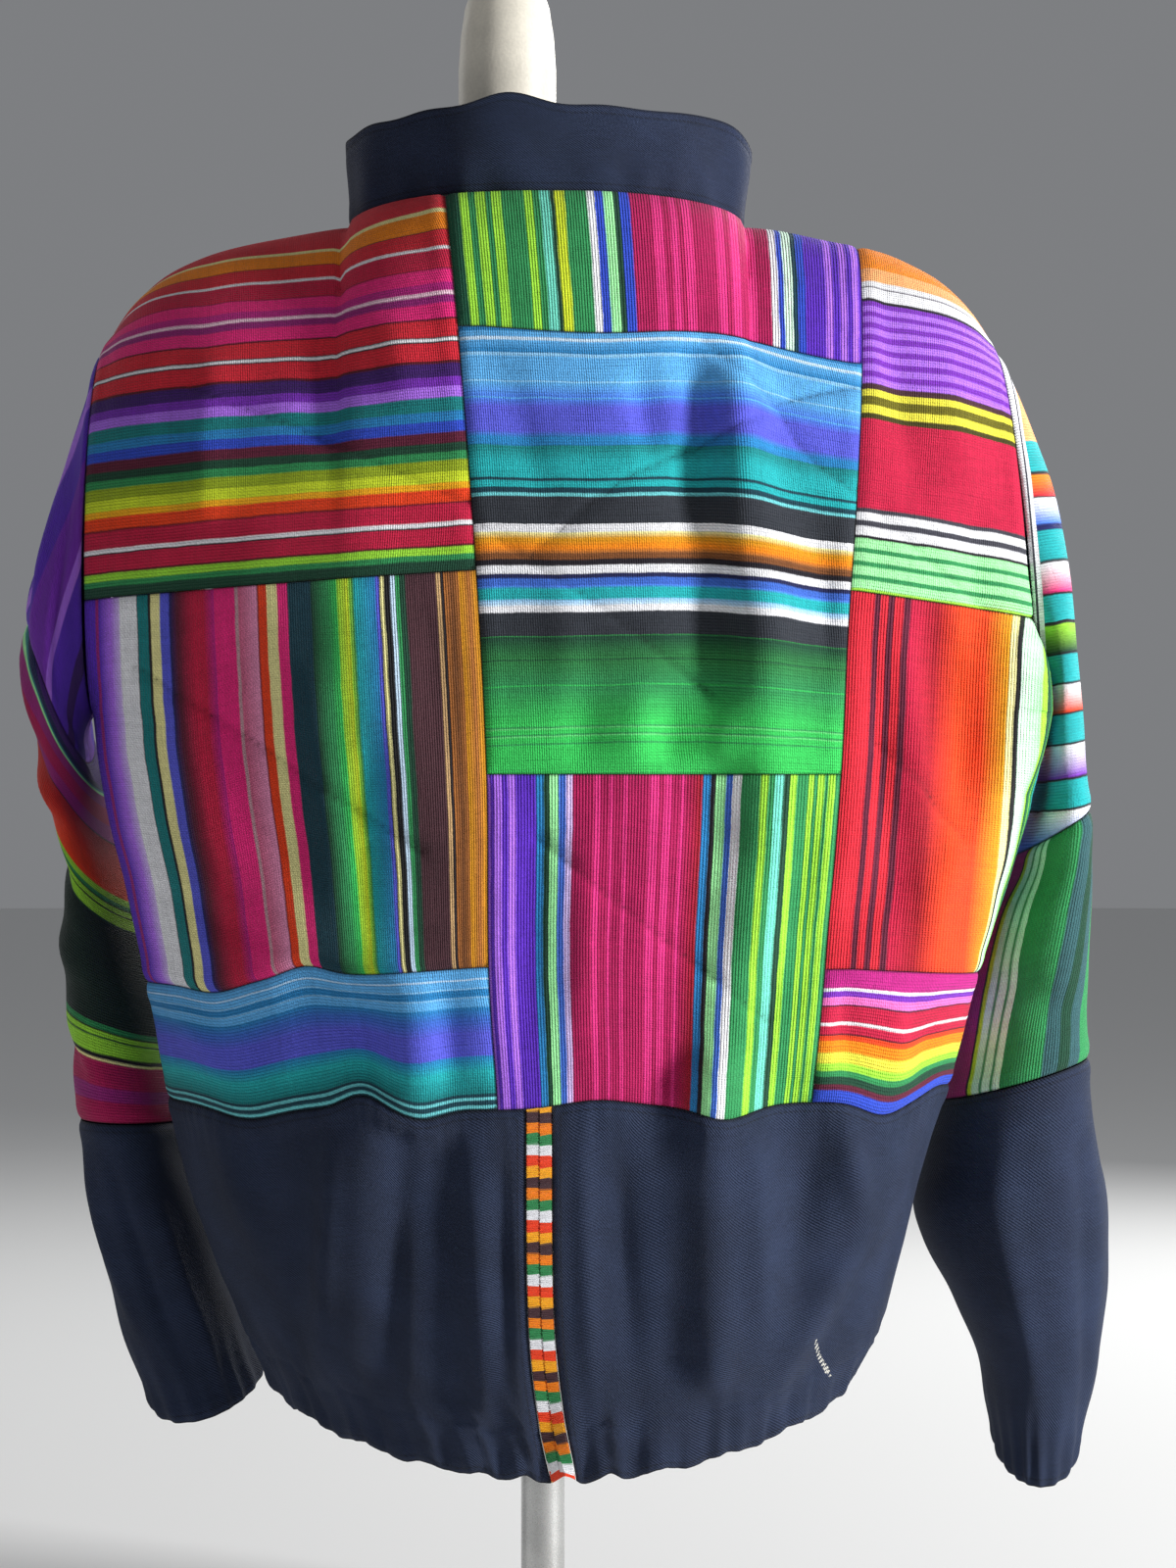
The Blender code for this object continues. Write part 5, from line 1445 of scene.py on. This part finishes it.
def normals_round(points):
    """As normals, on a grid whose first and last columns are the same places."""
    lapped = np.concatenate([points[:, -3:-1], points, points[:, 1:3]], axis=1)
    return normals(lapped)[:, 2:-2]


def cloth_grid(name, points, thickness, facts, closed=False):
    """A sheet from a grid of points, with its chart in metres and its seam distances."""
    rows, columns = points.shape[:2]
    piece = new_piece(name, bpy.ops.mesh.primitive_grid_add, x_subdivisions=columns - 1,
                      y_subdivisions=rows - 1, size=2.0, calc_uvs=True)
    mesh = piece.data
    flat = (points - np.array([CENTRE_X, 0.0, 0.0])).reshape(-1, 3)
    if len(mesh.vertices) != len(flat):
        raise RuntimeError(f"{name}: the grid has {len(mesh.vertices)} places, not {len(flat)}")
    mesh.vertices.foreach_set("co", flat.astype(np.float32).ravel())
    corners = np.zeros(len(mesh.loops), dtype=np.int32)
    mesh.loops.foreach_get("vertex_index", corners)
    chart = mesh.uv_layers[0]
    chart.name = "cloth"
    places = np.stack([facts.pop("across").ravel(), facts.pop("up").ravel()], axis=-1)
    chart.data.foreach_set("uv", places[corners].astype(np.float32).ravel())
    for label, values in facts.items():
        layer = mesh.attributes.new(label, "FLOAT", "POINT")
        layer.data.foreach_set("value", values.astype(np.float32).ravel())
    mesh.update()
    if closed:
        active_only(piece)
        bpy.ops.object.mode_set(mode="EDIT")
        bpy.ops.mesh.select_all(action="SELECT")
        bpy.ops.mesh.remove_doubles(threshold=0.00001)
        bpy.ops.object.mode_set(mode="OBJECT")
    apply_modifier(piece, "SOLIDIFY", thickness=thickness, offset=-1.0, use_even_offset=False)
    soften(piece, 60.0)
    return piece


def grid_of(skin, counts):
    """Points of a skin, with columns and rows closer together towards the seams."""
    across, up = counts
    p = crowd_ends(np.linspace(0.0, 1.0, across + 1))
    q = crowd_ends(np.linspace(0.0, 1.0, up + 1))
    p, q = np.meshgrid(p, q)
    return p, q, skin(p, q)


def seen_across(points, cut_off, size):
    """How far across a piece a place looks from straight on, shared out over the cloth.

    Stripes that are cut off by the side seam keep their widths from the other seam, and are
    measured along the cloth where it turns away."""
    look = points[..., 0] / (EYE - np.abs(points[..., 1])) * EYE
    run = np.abs(np.diff(look, axis=1))
    if cut_off:
        true = np.linalg.norm(np.diff(points, axis=1), axis=-1)
        turned = clamp((0.42 - run / np.maximum(true, 1e-9)) / 0.2)
        run = run + (true - run) * turned
    run = np.concatenate([np.zeros_like(run[:, :1]), np.cumsum(run, axis=1)], axis=1)
    return run if cut_off else run / run[:, -1:] * size


def facts_of(points, title="", closed=False):
    """Chart and seam distances of a grid, with the stripes laid as the cloth of that title."""
    over = along(points, 1)
    rise = along(points, 0)
    wide, tall = over[:, -1:], rise[-1:, :]
    seam = np.minimum(rise, tall - rise)
    if not closed:
        seam = np.minimum(seam, np.minimum(over, wide - over))
    size = (float(wide.mean()), float(tall.mean()))
    across, up = over, rise
    if closed:
        across = over / wide * size[0]
        up = rise / tall * size[1]
    elif title in UPRIGHT:
        across = seen_across(points, title in CUT_OFF, size[0])
    elif title in LEVEL:
        z = points[..., 2]
        up = (z - z[:1]) / (z[-1:] - z[:1]) * size[1]
        up = up - LEVEL[title] * np.sin(math.pi * over / wide)
    elif title in STRIPES and title not in FROM_SEAM:
        up = rise / tall * size[1]
    facts = {"across": across, "up": up, "seam": seam, "top": tall - rise, "pace": over + rise}
    return facts, size


def counts_for(skin):
    """How many columns and rows keep the grid near its step."""
    _, _, rough = grid_of(skin, (12, 12))
    step = GRID * 1.0
    wide = float(along(rough, 1)[:, -1].mean())
    tall = float(along(rough, 0)[-1].mean())
    return max(8, round(wide / step)), max(8, round(tall / step))


def body_cloth(name, face, skin, material_for, slot, thickness, extra=None):
    """A patch of the body: its form, creases, quilting and seams."""
    _, _, points = grid_of(skin, counts_for(skin))
    x, z = points[..., 0], points[..., 2]
    facts, size = facts_of(points, slot)
    quilt = quilting_distance(face, x, z) if extra is None else np.full_like(x, 1.0)
    inside = clamp(facts["seam"] / BODY_CALM.reach)
    share = BODY_SHARE + (1 - BODY_SHARE) * inside
    bend = folds(CREASES, face, x, z, True) * cloth_settings().crease * share
    bend += RIPPLE * ripple(points, BODY_CALM.wide, BODY_CALM.tall) * inside
    bend += sewn_edge(facts["seam"]) - QUILT_TRENCH * np.exp(-(quilt / QUILT_SPREAD) ** 2)
    if extra is not None:
        bend += extra(points, facts)
    facts["quilt"] = quilt
    points = points + normals(points) * (bend + LIFT)[..., None]
    if slot in UPRIGHT:
        facts["across"] = seen_across(points, slot in CUT_OFF, size[0])
    piece = cloth_grid(name + "_cloth", points, thickness, facts)
    finish_piece(piece, material_for(size), (name,))


class JACKET_OT_back_patches(Operator):
    """Make the nine striped patches of the back"""
    bl_idname = "jacket.back_patches"
    bl_label = "Back patches"

    def execute(self, context):
        edges = {
            "left": (side_edge(-1), seam_edge(LEFT_SEAM, -1)),
            "middle": (seam_edge(LEFT_SEAM, 1), seam_edge(RIGHT_SEAM, -1)),
            "right": (seam_edge(RIGHT_SEAM, 1), side_edge(1)),
        }
        for column in COLUMNS:
            low = CROSS[column.name + "_low"]
            high = CROSS[column.name + "_high"]
            ends = (column.start, column.end)
            rows = (
                ("lower", level(CROSS["band"], BACK_SPAN, 1), level(low, ends, -1)),
                ("middle", level(low, ends, 1), level(high, ends, -1)),
                ("upper", level(high, ends, 1), shoulder(-1)),
            )
            for row, under, over in rows:
                title = column.name + "_" + row
                crowd = CROWD if row == "upper" else 1.0
                skin = panel_skin(-1, edges[column.name], (under, over), crowd)
                body_cloth("back_" + title, -1, skin, lambda size, t=title: woven(t, size),
                           title, cloth_settings().thickness)
        return {"FINISHED"}


class JACKET_OT_front_patches(Operator):
    """Make the six striped patches of the front"""
    bl_idname = "jacket.front_patches"
    bl_label = "Front patches"

    def execute(self, context):
        for label, side in (("left", -1), ("right", 1)):
            inner = zip_edge(side * (ZIP_HALF + SEAM / 2))
            edges = (side_edge(side), inner) if side < 0 else (inner, side_edge(side))
            for row in FRONT_ROWS:
                under = level(CROSS[row.under], FRONT_SPAN, 1)
                over = level(CROSS[row.over], FRONT_SPAN, -1) if row.over else shoulder(1)
                skin = panel_skin(1, edges, (under, over), CROWD if row.over is None else 1.0)
                title = "front_" + row.name
                name = "front_" + label + "_" + row.name
                body_cloth(name, 1, skin, lambda size, t=title: woven(t, size), title,
                           cloth_settings().thickness)
        return {"FINISHED"}


def band_relief(facts):
    """Small gathers of the navy band: at its seam and, deeper, at the elastic hem."""
    run = facts["across"]
    drop = facts["up"]
    tall = facts["top"]
    hem = np.exp(-(drop / 0.034) ** 2)
    top = np.exp(-(tall / 0.020) ** 2)
    wave = np.sin(run * 410 + 2.2 * np.sin(run * 61) + drop * 9)
    fine = np.sin(run * 760 + 1.6 * np.sin(run * 97 + 1.0))
    channel = np.exp(-((drop - CHANNEL_PLACE) / CHANNEL_SPREAD) ** 2) * CHANNEL_DEPTH
    return HEM_WAVE * wave * hem + SEAM_GATHER * fine * top + HEM_GATHER * fine * hem - channel


class JACKET_OT_lower_band(Operator):
    """Make the navy canvas band, gathered at the hem"""
    bl_idname = "jacket.lower_band"
    bl_label = "Lower band"

    def execute(self, context):
        base = level(CROSS["band"], BACK_SPAN, -1)
        front = level(CROSS["front_band"], FRONT_SPAN, -1)
        beside = JOIN_HALF + SEAM
        tape = ZIP_HALF + SEAM / 2
        pieces = (
            ("band_back_left", -1, (side_edge(-1), join_edge(-beside)), base),
            ("band_back_right", -1, (join_edge(beside), side_edge(1)), base),
            ("band_front_left", 1, (side_edge(-1), zip_edge(-tape)), front),
            ("band_front_right", 1, (zip_edge(tape), side_edge(1)), front),
        )
        for name, face, edges, high in pieces:
            skin = band_skin(face, edges, high)
            marked = name == "band_back_right"

            def relief(points, facts, marked=marked):
                if marked:
                    facts["mark"] = line_distance(points[..., 0], points[..., 2], *MARK)[0]
                return band_relief(facts)
            body_cloth(name, face, skin, lambda size, n=name, m=marked: canvas(n + "_canvas", m),
                       "navy_canvas", cloth_settings().canvas, extra=relief)
        return {"FINISHED"}


class JACKET_OT_joining_stitches(Operator):
    """Sew the two rows of satin stitch that join the band"""
    bl_idname = "jacket.joining_stitches"
    bl_label = "Joining stitches"

    def execute(self, context):
        base = level(CROSS["band"], BACK_SPAN, -1)
        skin = band_skin(-1, (join_edge(-JOIN_HALF), join_edge(JOIN_HALF)), base)
        count, pitch = SATIN_FULL
        bar = new_piece("joining_bars", bpy.ops.mesh.primitive_cylinder_add, vertices=6,
                        radius=0.5, depth=1.0, end_fill_type="TRIFAN",
                        rotation=(0.0, math.pi / 2, 0.0))
        bake_place(bar)
        shape, faces = small_shape(bar)
        places, heights, sides = [], [], []
        tape_q = (np.arange(count) + 0.5) / count
        for side in (0, 1):
            spread = np.full(count, 0.25 + 0.5 * side)
            middle = skin(spread, tape_q)
            right = skin(spread + 0.02, tape_q)
            above = skin(spread, np.minimum(tape_q + 0.01, 1.0))
            run = right - middle
            run /= np.linalg.norm(run, axis=-1, keepdims=True)
            rise = above - skin(spread, np.maximum(tape_q - 0.01, 0.0))
            rise /= np.linalg.norm(rise, axis=-1, keepdims=True)
            out = np.cross(run, rise)
            rise = np.cross(out, run)
            wide = JOIN_HALF * SATIN_REACH * (1 + 0.07 * np.sin(np.arange(count) * 2.4 + side))
            tilt = 0.10 * np.sin(np.arange(count) * 1.3 + side * 2)
            for i in range(count):
                round_end = 1 - 0.50 * (2 * np.abs(shape[:, 0])) ** 2
                place = (middle[i] + run[i] * (shape[:, :1] * wide[i])
                         + rise[i] * ((shape[:, 1:2] * pitch) + shape[:, :1] * wide[i] * tilt[i])
                         + out[i] * (shape[:, 2:3] * SATIN_RISE * round_end[:, None] + 0.0001))
                places.append(place)
                heights.append(np.full(len(shape), middle[i][2]))
                sides.append(np.full(len(shape), float(side)))
        backing = self.backing(skin)
        mesh = copies("joining_bars", places, faces)
        for label, values in (("height", heights), ("side", sides)):
            layer = mesh.attributes.new(label, "FLOAT", "POINT")
            layer.data.foreach_set("value", np.concatenate(values).astype(np.float32))
        bar.data = mesh
        soften(bar, 40.0)
        finish_piece(bar, satin_thread())
        finish_piece(backing, satin_thread(), ("joining_stitches",))
        return {"FINISHED"}

    def backing(self, skin):
        """The strip of thread under the two rows, sunk between them."""
        p, _, points = grid_of(skin, (12, 90))
        facts, _ = facts_of(points)
        height = points[..., 2]
        side = np.where(p > 0.5, 1.0, 0.0)
        ridge = 0.0009 * np.exp(-((abs(p - 0.5) - 0.25) / 0.17) ** 2) - 0.0008
        points = points + normals(points) * ridge[..., None]
        facts = {"across": facts["across"], "up": facts["up"], "height": height, "side": side}
        return cloth_grid("joining_backing", points, SATIN_BACKING, facts)


class JACKET_OT_sleeves(Operator):
    """Make the three pieces of each sleeve"""
    bl_idname = "jacket.sleeves"
    bl_label = "Sleeves"

    def execute(self, context):
        plans = (
            ("left", LEFT_SLEEVE, LEFT_SPANS, False, LEFT_CREASES),
            ("right", RIGHT_SLEEVE, RIGHT_SPANS, True, RIGHT_CREASES),
        )
        for label, rings, spans, mirror, creases in plans:
            for span in spans:
                self.piece(label, rings, span, mirror, creases)
        return {"FINISHED"}

    def piece(self, label, rings, span, mirror, creases):
        name = "sleeve_" + label + "_" + span.name
        start = span.first + SLEEVE_GAP
        cuff = span.last == len(rings) - 1
        end = span.last if cuff else span.last - SLEEVE_GAP
        skin = sleeve_skin(rings, start, end, mirror)
        across, up = counts_for(skin)
        p, q = np.meshgrid(np.linspace(0.0, 1.0, across + 1),
                           crowd_ends(np.linspace(0.0, 1.0, up + 1)))
        points = skin(p, q)
        facts, size = facts_of(points, name, closed=True)
        if name == "sleeve_left_middle":
            facts["up"] -= (ARM_SLANT + ARM_SLANT_RISE * facts["up"]) * np.cos(math.tau * p)
        elif name == "sleeve_right_upper":
            out = points[..., 0] - ARM_OUTER
            facts["up"] = points[..., 2] - ARM_LEVEL - ARM_SLOPE * out
        run = start + (end - start) * (1 - q)
        inside = clamp(facts["seam"] / SLEEVE_CALM.reach)
        share = SLEEVE_SHARE + (1 - SLEEVE_SHARE) * inside
        bend = arm_folds(creases, p, run) * cloth_settings().crease * share
        bend += RIPPLE * ripple(points, SLEEVE_CALM.wide, SLEEVE_CALM.tall) * inside
        bend += sewn_edge(facts["seam"])
        if span.name == "lower":
            low = np.exp(-(facts["up"] / 0.030) ** 2)
            bend += 0.0010 * low * np.sin(p * math.tau * 19 + 1.4 * np.sin(p * math.tau * 3))
        facts["quilt"] = np.full_like(p, 1.0)
        points = points + normals_round(points) * (bend + LIFT)[..., None]
        points[:, -1] = points[:, 0]
        thick = cloth_settings().canvas if span.name == "lower" else cloth_settings().thickness
        piece = cloth_grid(name + "_cloth", points, thick, facts, closed=True)
        if span.name == "lower":
            finish_piece(piece, canvas(name + "_canvas"), (name,))
        else:
            finish_piece(piece, woven(name, size, trim=name == "sleeve_right_upper"),
                         (name,))


class JACKET_OT_collar(Operator):
    """Make the navy stand collar"""
    bl_idname = "jacket.collar"
    bl_label = "Collar"

    def execute(self, context):
        across, up = counts_for(collar_skin)
        p, q, points = grid_of(collar_skin, (across, max(up, 16)))
        facts, _ = facts_of(points)
        turn = p * math.tau
        bend = 0.0011 * np.sin(turn * 7 + 1.2 * np.sin(turn * 3)) * q * (1 - q) * 4
        bend += 0.0007 * np.sin(turn * 23 + 2 * np.sin(turn * 5)) * np.exp(-(q / 0.35) ** 2)
        inside = clamp(facts["seam"] / COLLAR_CALM.reach)
        bend += RIPPLE * ripple(points, COLLAR_CALM.wide, COLLAR_CALM.tall) * inside
        bend -= 0.0007 * np.exp(-((facts["top"] - TOP_STITCH) / 0.0012) ** 2)
        bend -= 0.0011 * np.exp(-(facts["up"] / 0.0016) ** 2)
        facts["quilt"] = np.full_like(p, 1.0)
        points = points + normals(points) * bend[..., None]
        points[..., 2] += 0.0012 * q * np.sin(turn * 11 + 1.9 * np.sin(turn * 2 + 0.5))
        # the cloth reaches down to its seam where the solid stands clear of the chest
        ahead = clamp(np.cos(COLLAR_GAP + (math.tau - 2 * COLLAR_GAP) * p))
        points[..., 2] -= COLLAR_EASE * COLLAR_REACH * ahead * (1 - q)
        piece = cloth_grid("collar_cloth", points, cloth_settings().thickness, facts)
        finish_piece(piece, canvas("collar_canvas"), ("collar",))
        return {"FINISHED"}


class JACKET_OT_zip(Operator):
    """Make the zip's tapes and teeth, and finish its slider and pull tab"""
    bl_idname = "jacket.zip"
    bl_label = "Zip"

    def execute(self, context):
        near = SEAM / 2
        far = ZIP_HALF - SEAM / 2
        levels = (lambda x: HEM_FRONT + 0 * x, shoulder(1))
        for label, start, end in (("left", -far, -near), ("right", near, far)):
            skin = panel_skin(1, (zip_edge(start), zip_edge(end)), levels)
            p, _, points = grid_of(skin, (10, 240))
            facts, _ = facts_of(points)
            facts["quilt"] = np.full_like(p, 1.0)
            name = "zip_tape_" + label
            piece = cloth_grid(name + "_cloth", points, TAPE, facts)
            finish_piece(piece, canvas(name + "_canvas"), (name,))
        self.teeth()
        metal = solid_look("zip_metal", tuple(form_settings().metal_colour), 0.34, 1.0,
                           900.0, 0.0001)
        for name in ("zip_slider", "zip_pull_tab"):
            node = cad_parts[name]
            node.data.materials.clear()
            node.data.materials.append(metal)
        return {"FINISHED"}

    def teeth(self):
        """One tooth, copied up both sides of the zip."""
        tooth = new_piece("zip_teeth", bpy.ops.mesh.primitive_cube_add, size=1.0)
        active_only(tooth)
        bpy.ops.object.mode_set(mode="EDIT")
        bpy.ops.mesh.select_all(action="SELECT")
        bpy.ops.mesh.bevel(offset=0.18, segments=1, affect="EDGES")
        bpy.ops.object.mode_set(mode="OBJECT")
        shape, faces = small_shape(tooth)
        shape = shape * np.array(TOOTH)
        top = float(top_height(1, np.array(FRONT_MIDDLE))) - SLIDER_DROP - SLIDER_LENGTH * 1.15
        heights = np.arange(HEM_FRONT + TEETH_START, top, TOOTH_PITCH)
        places = []
        for side in (-1, 1):
            x = np.full_like(heights, FRONT_MIDDLE + side * TOOTH_ASIDE)
            z = heights + (TOOTH_OFFSET if side > 0 else 0.0)
            spots = cloth_point(1, x, z)
            above = cloth_point(1, x, z + 0.001)
            rise = above - spots
            rise /= np.linalg.norm(rise, axis=-1, keepdims=True)
            for spot, up in zip(spots, rise):
                out = np.array([0.0, up[2], -up[1]])
                places.append(spot + shape[:, :1] * np.array([1.0, 0.0, 0.0])
                              + out * (shape[:, 1:2] + TOOTH_PROUD) + up * shape[:, 2:3])
        tooth.data = copies("zip_teeth", places, faces)
        soften(tooth, 30.0)
        metal = solid_look("zip_teeth_metal", tuple(form_settings().metal_colour), 0.40, 1.0,
                           700.0, 0.0001)
        finish_piece(tooth, metal)


class JACKET_OT_dress_form(Operator):
    """Finish the dress form: torso, neck knob, pole and base"""
    bl_idname = "jacket.dress_form"
    bl_label = "Dress form"

    def execute(self, context):
        settings = form_settings()
        cover = solid_look("form_cover", tuple(settings.cover_colour), 0.46, 0.0, 620.0, 0.0002)
        self.torso(cover)
        knob = self.turned("form_knob_cover", KNOB, (KNOB_X, TORSO[-1].forward), KNOB_SIDES)
        apply_modifier(knob, "BEVEL", width=FORM_EDGE, segments=3, limit_method="ANGLE",
                       angle_limit=math.radians(50))
        soften(knob, 40.0)
        finish_piece(knob, cover, ("form_neck_knob",))
        foot = TORSO[0].height - SEAM
        pole = (Turn(0.0, foot), Turn(POLE_RADIUS, foot), Turn(POLE_RADIUS, BASE_HEIGHT + SEAM),
                Turn(0.0, BASE_HEIGHT + SEAM))
        pole = self.turned("form_pole_tube", pole, (FORM_X, 0.0), POLE_SIDES)
        soften(pole, 40.0)
        steel = solid_look("form_pole", (0.62, 0.62, 0.61), 0.28, 1.0, 800.0, 0.00008)
        finish_piece(pole, steel, ("form_pole",))
        base = (Turn(0.0, BASE_HEIGHT), Turn(BASE_RADIUS - BASE_EDGE * 2, BASE_HEIGHT),
                Turn(BASE_RADIUS, BASE_HEIGHT - BASE_EDGE), Turn(BASE_RADIUS, BASE_EDGE / 2),
                Turn(BASE_RADIUS - BASE_EDGE / 2, 0.0), Turn(0.0, 0.0))
        base = self.turned("form_base_disc", base, (CENTRE_X, 0.0), BASE_SIDES)
        apply_modifier(base, "BEVEL", width=FORM_EDGE, segments=3, limit_method="ANGLE",
                       angle_limit=math.radians(20))
        soften(base, 30.0)
        lacquer = solid_look("form_base", tuple(settings.wood_colour), 0.38, 0.0, 260.0, 0.0001)
        finish_piece(base, lacquer, ("form_base",))
        return {"FINISHED"}

    def torso(self, cover):
        piece = new_piece("form_torso_cover", bpy.ops.mesh.primitive_cylinder_add,
                          vertices=TORSO_SIDES, radius=1.0, depth=2.0, end_fill_type="NGON")
        active_only(piece)
        mesh = piece.data
        bpy.ops.object.mode_set(mode="EDIT")
        for i in range(1, TORSO_ROWS):
            bpy.ops.mesh.select_all(action="SELECT")
            bpy.ops.mesh.bisect(plane_co=(0.0, 0.0, -1.0 + 2.0 * i / TORSO_ROWS),
                                plane_no=(0.0, 0.0, 1.0))
        bpy.ops.object.mode_set(mode="OBJECT")
        place = np.zeros(len(mesh.vertices) * 3, dtype=np.float32)
        mesh.vertices.foreach_get("co", place)
        place = place.reshape(-1, 3).astype(float)
        turn = np.arctan2(place[:, 0], -place[:, 1])
        q = (place[:, 2] + 1) / 2
        seam = 0.0007 * np.exp(-(np.sin(turn * 2) * 26) ** 2) * clamp((1 - q) * 20)
        points = torso_skin((turn / math.tau) % 1.0, q)
        out = np.stack([np.sin(turn), -np.cos(turn), 0 * turn], axis=-1)
        points = points - out * (seam + 0.0004)[:, None] - np.array([CENTRE_X, 0.0, 0.0])
        mesh.vertices.foreach_set("co", points.astype(np.float32).ravel())
        mesh.update()
        soften(piece, 50.0)
        finish_piece(piece, cover, ("form_torso",))

    def turned(self, name, profile, centre, sides):
        """A solid turned from a profile that runs down its outer side."""
        piece = new_piece(name, bpy.ops.mesh.primitive_plane_add, size=0.01)
        mesh = bpy.data.meshes.new(name)
        edges = [(i, i + 1) for i in range(len(profile) - 1)]
        mesh.from_pydata([(turn.radius, 0.0, turn.height) for turn in profile], edges, [])
        piece.data = mesh
        apply_modifier(piece, "SCREW", axis="Z", steps=sides, render_steps=sides,
                       use_merge_vertices=True, merge_threshold=0.00002)
        active_only(piece)
        bpy.ops.object.mode_set(mode="EDIT")
        bpy.ops.mesh.select_all(action="SELECT")
        bpy.ops.mesh.remove_doubles(threshold=0.00002)
        bpy.ops.mesh.normals_make_consistent(inside=False)
        bpy.ops.object.mode_set(mode="OBJECT")
        piece.location = (centre[0] - CENTRE_X, centre[1], 0.0)
        bake_place(piece)
        return piece


class JACKET_OT_stage(Operator):
    """Lay the floor and set the lights and the camera"""
    bl_idname = "jacket.stage"
    bl_label = "Stage"

    def execute(self, context):
        settings = stage_settings()
        floor = new_piece("stage_floor", bpy.ops.mesh.primitive_circle_add, vertices=96,
                          radius=FLOOR_RADIUS, fill_type="NGON",
                          location=(0.0, 0.0, -FLOOR_DROP))
        bake_place(floor)
        look = Look("stage_floor", (*settings.floor_colour, 1.0), 0.85)
        floor.data.materials.append(look.material)
        for plan in LAMPS:
            bpy.ops.object.select_all(action="DESELECT")
            bpy.ops.object.light_add(type="AREA", location=plan.spot)
            lamp = context.object
            lamp.name = "stage_" + plan.name
            lamp.data.energy = getattr(settings, plan.power) * plan.share
            lamp.data.size = plan.size
            aim = Vector(LIT_PLACE) - Vector(plan.spot)
            lamp.rotation_euler = aim.to_track_quat("-Z", "Y").to_euler()
        world = bpy.data.worlds.new("stage_air")
        world.use_nodes = True
        air = world.node_tree.nodes["Background"]
        air.inputs["Color"].default_value = AIR_COLOUR
        air.inputs["Strength"].default_value = AIR_STRENGTH
        context.scene.world = world
        context.scene.view_settings.view_transform = "Standard"
        bpy.ops.object.camera_add(location=(PICTURE_X - CENTRE_X, -settings.distance, PICTURE_Z),
                                  rotation=(math.pi / 2, 0.0, 0.0))
        camera = context.object
        camera.name = "stage_camera"
        camera.data.sensor_width = SENSOR
        camera.data.lens = SENSOR * settings.distance / settings.frame_height
        camera.data.clip_start = 0.05
        context.scene.camera = camera
        return {"FINISHED"}


class JACKET_PT_panel(Panel):
    bl_label = "Patchwork jacket"
    bl_idname = "JACKET_PT_panel"
    bl_space_type = "VIEW_3D"
    bl_region_type = "UI"
    bl_category = "Jacket"

    def draw(self, context):
        for group in (cloth_settings(), form_settings(), stage_settings()):
            for name in group.bl_rna.properties.keys():
                if name not in ("rna_type", "name"):
                    self.layout.prop(group, name)
        for step in STEPS:
            self.layout.operator(step.bl_idname)


# Middle of the picture, in the jacket's own measures
PICTURE_X = 0.0259
PICTURE_Z = 0.498

# Stage: camera sensor in millimetres, air, the place that the lamps aim at, the lamps by the
# setting that gives their power, and the floor
SENSOR = 36.0
AIR_COLOUR = (0.86, 0.88, 0.92, 1.0)
AIR_STRENGTH = 0.24
LIT_PLACE = (0.0, 0.0, 0.50)
Lamp = namedtuple("Lamp", "name spot power share size")
LAMPS = (
    Lamp("key", (2.60, -1.10, 1.10), "key_power", 1.0, 0.55),
    Lamp("fill", (-1.9, -1.6, 0.9), "fill_power", 1.0, 1.6),
    Lamp("back_right", (1.2, 2.1, 1.5), "key_power", 0.30, 1.1),
    Lamp("back_left", (-1.7, 1.8, 1.3), "fill_power", 2.0, 1.2),
)
FLOOR_RADIUS = 14.0
FLOOR_DROP = 0.0004

STEPS = (JACKET_OT_back_patches, JACKET_OT_front_patches, JACKET_OT_lower_band,
         JACKET_OT_joining_stitches, JACKET_OT_sleeves, JACKET_OT_collar, JACKET_OT_zip,
         JACKET_OT_dress_form, JACKET_OT_stage)
GROUPS = (ClothSettings, FormSettings, StageSettings)


def register():
    for kind in (*GROUPS, *STEPS, JACKET_PT_panel):
        bpy.utils.register_class(kind)
    bpy.types.Scene.jacket_cloth = PointerProperty(type=ClothSettings)
    bpy.types.Scene.jacket_form = PointerProperty(type=FormSettings)
    bpy.types.Scene.jacket_stage = PointerProperty(type=StageSettings)


def unregister():
    del bpy.types.Scene.jacket_stage
    del bpy.types.Scene.jacket_form
    del bpy.types.Scene.jacket_cloth
    for kind in (JACKET_PT_panel, *reversed(STEPS), *reversed(GROUPS)):
        bpy.utils.unregister_class(kind)


def main():
    register()
    for step in STEPS:
        family, name = step.bl_idname.split(".")
        getattr(getattr(bpy.ops, family), name)()


if __name__ == "__main__":
    main()
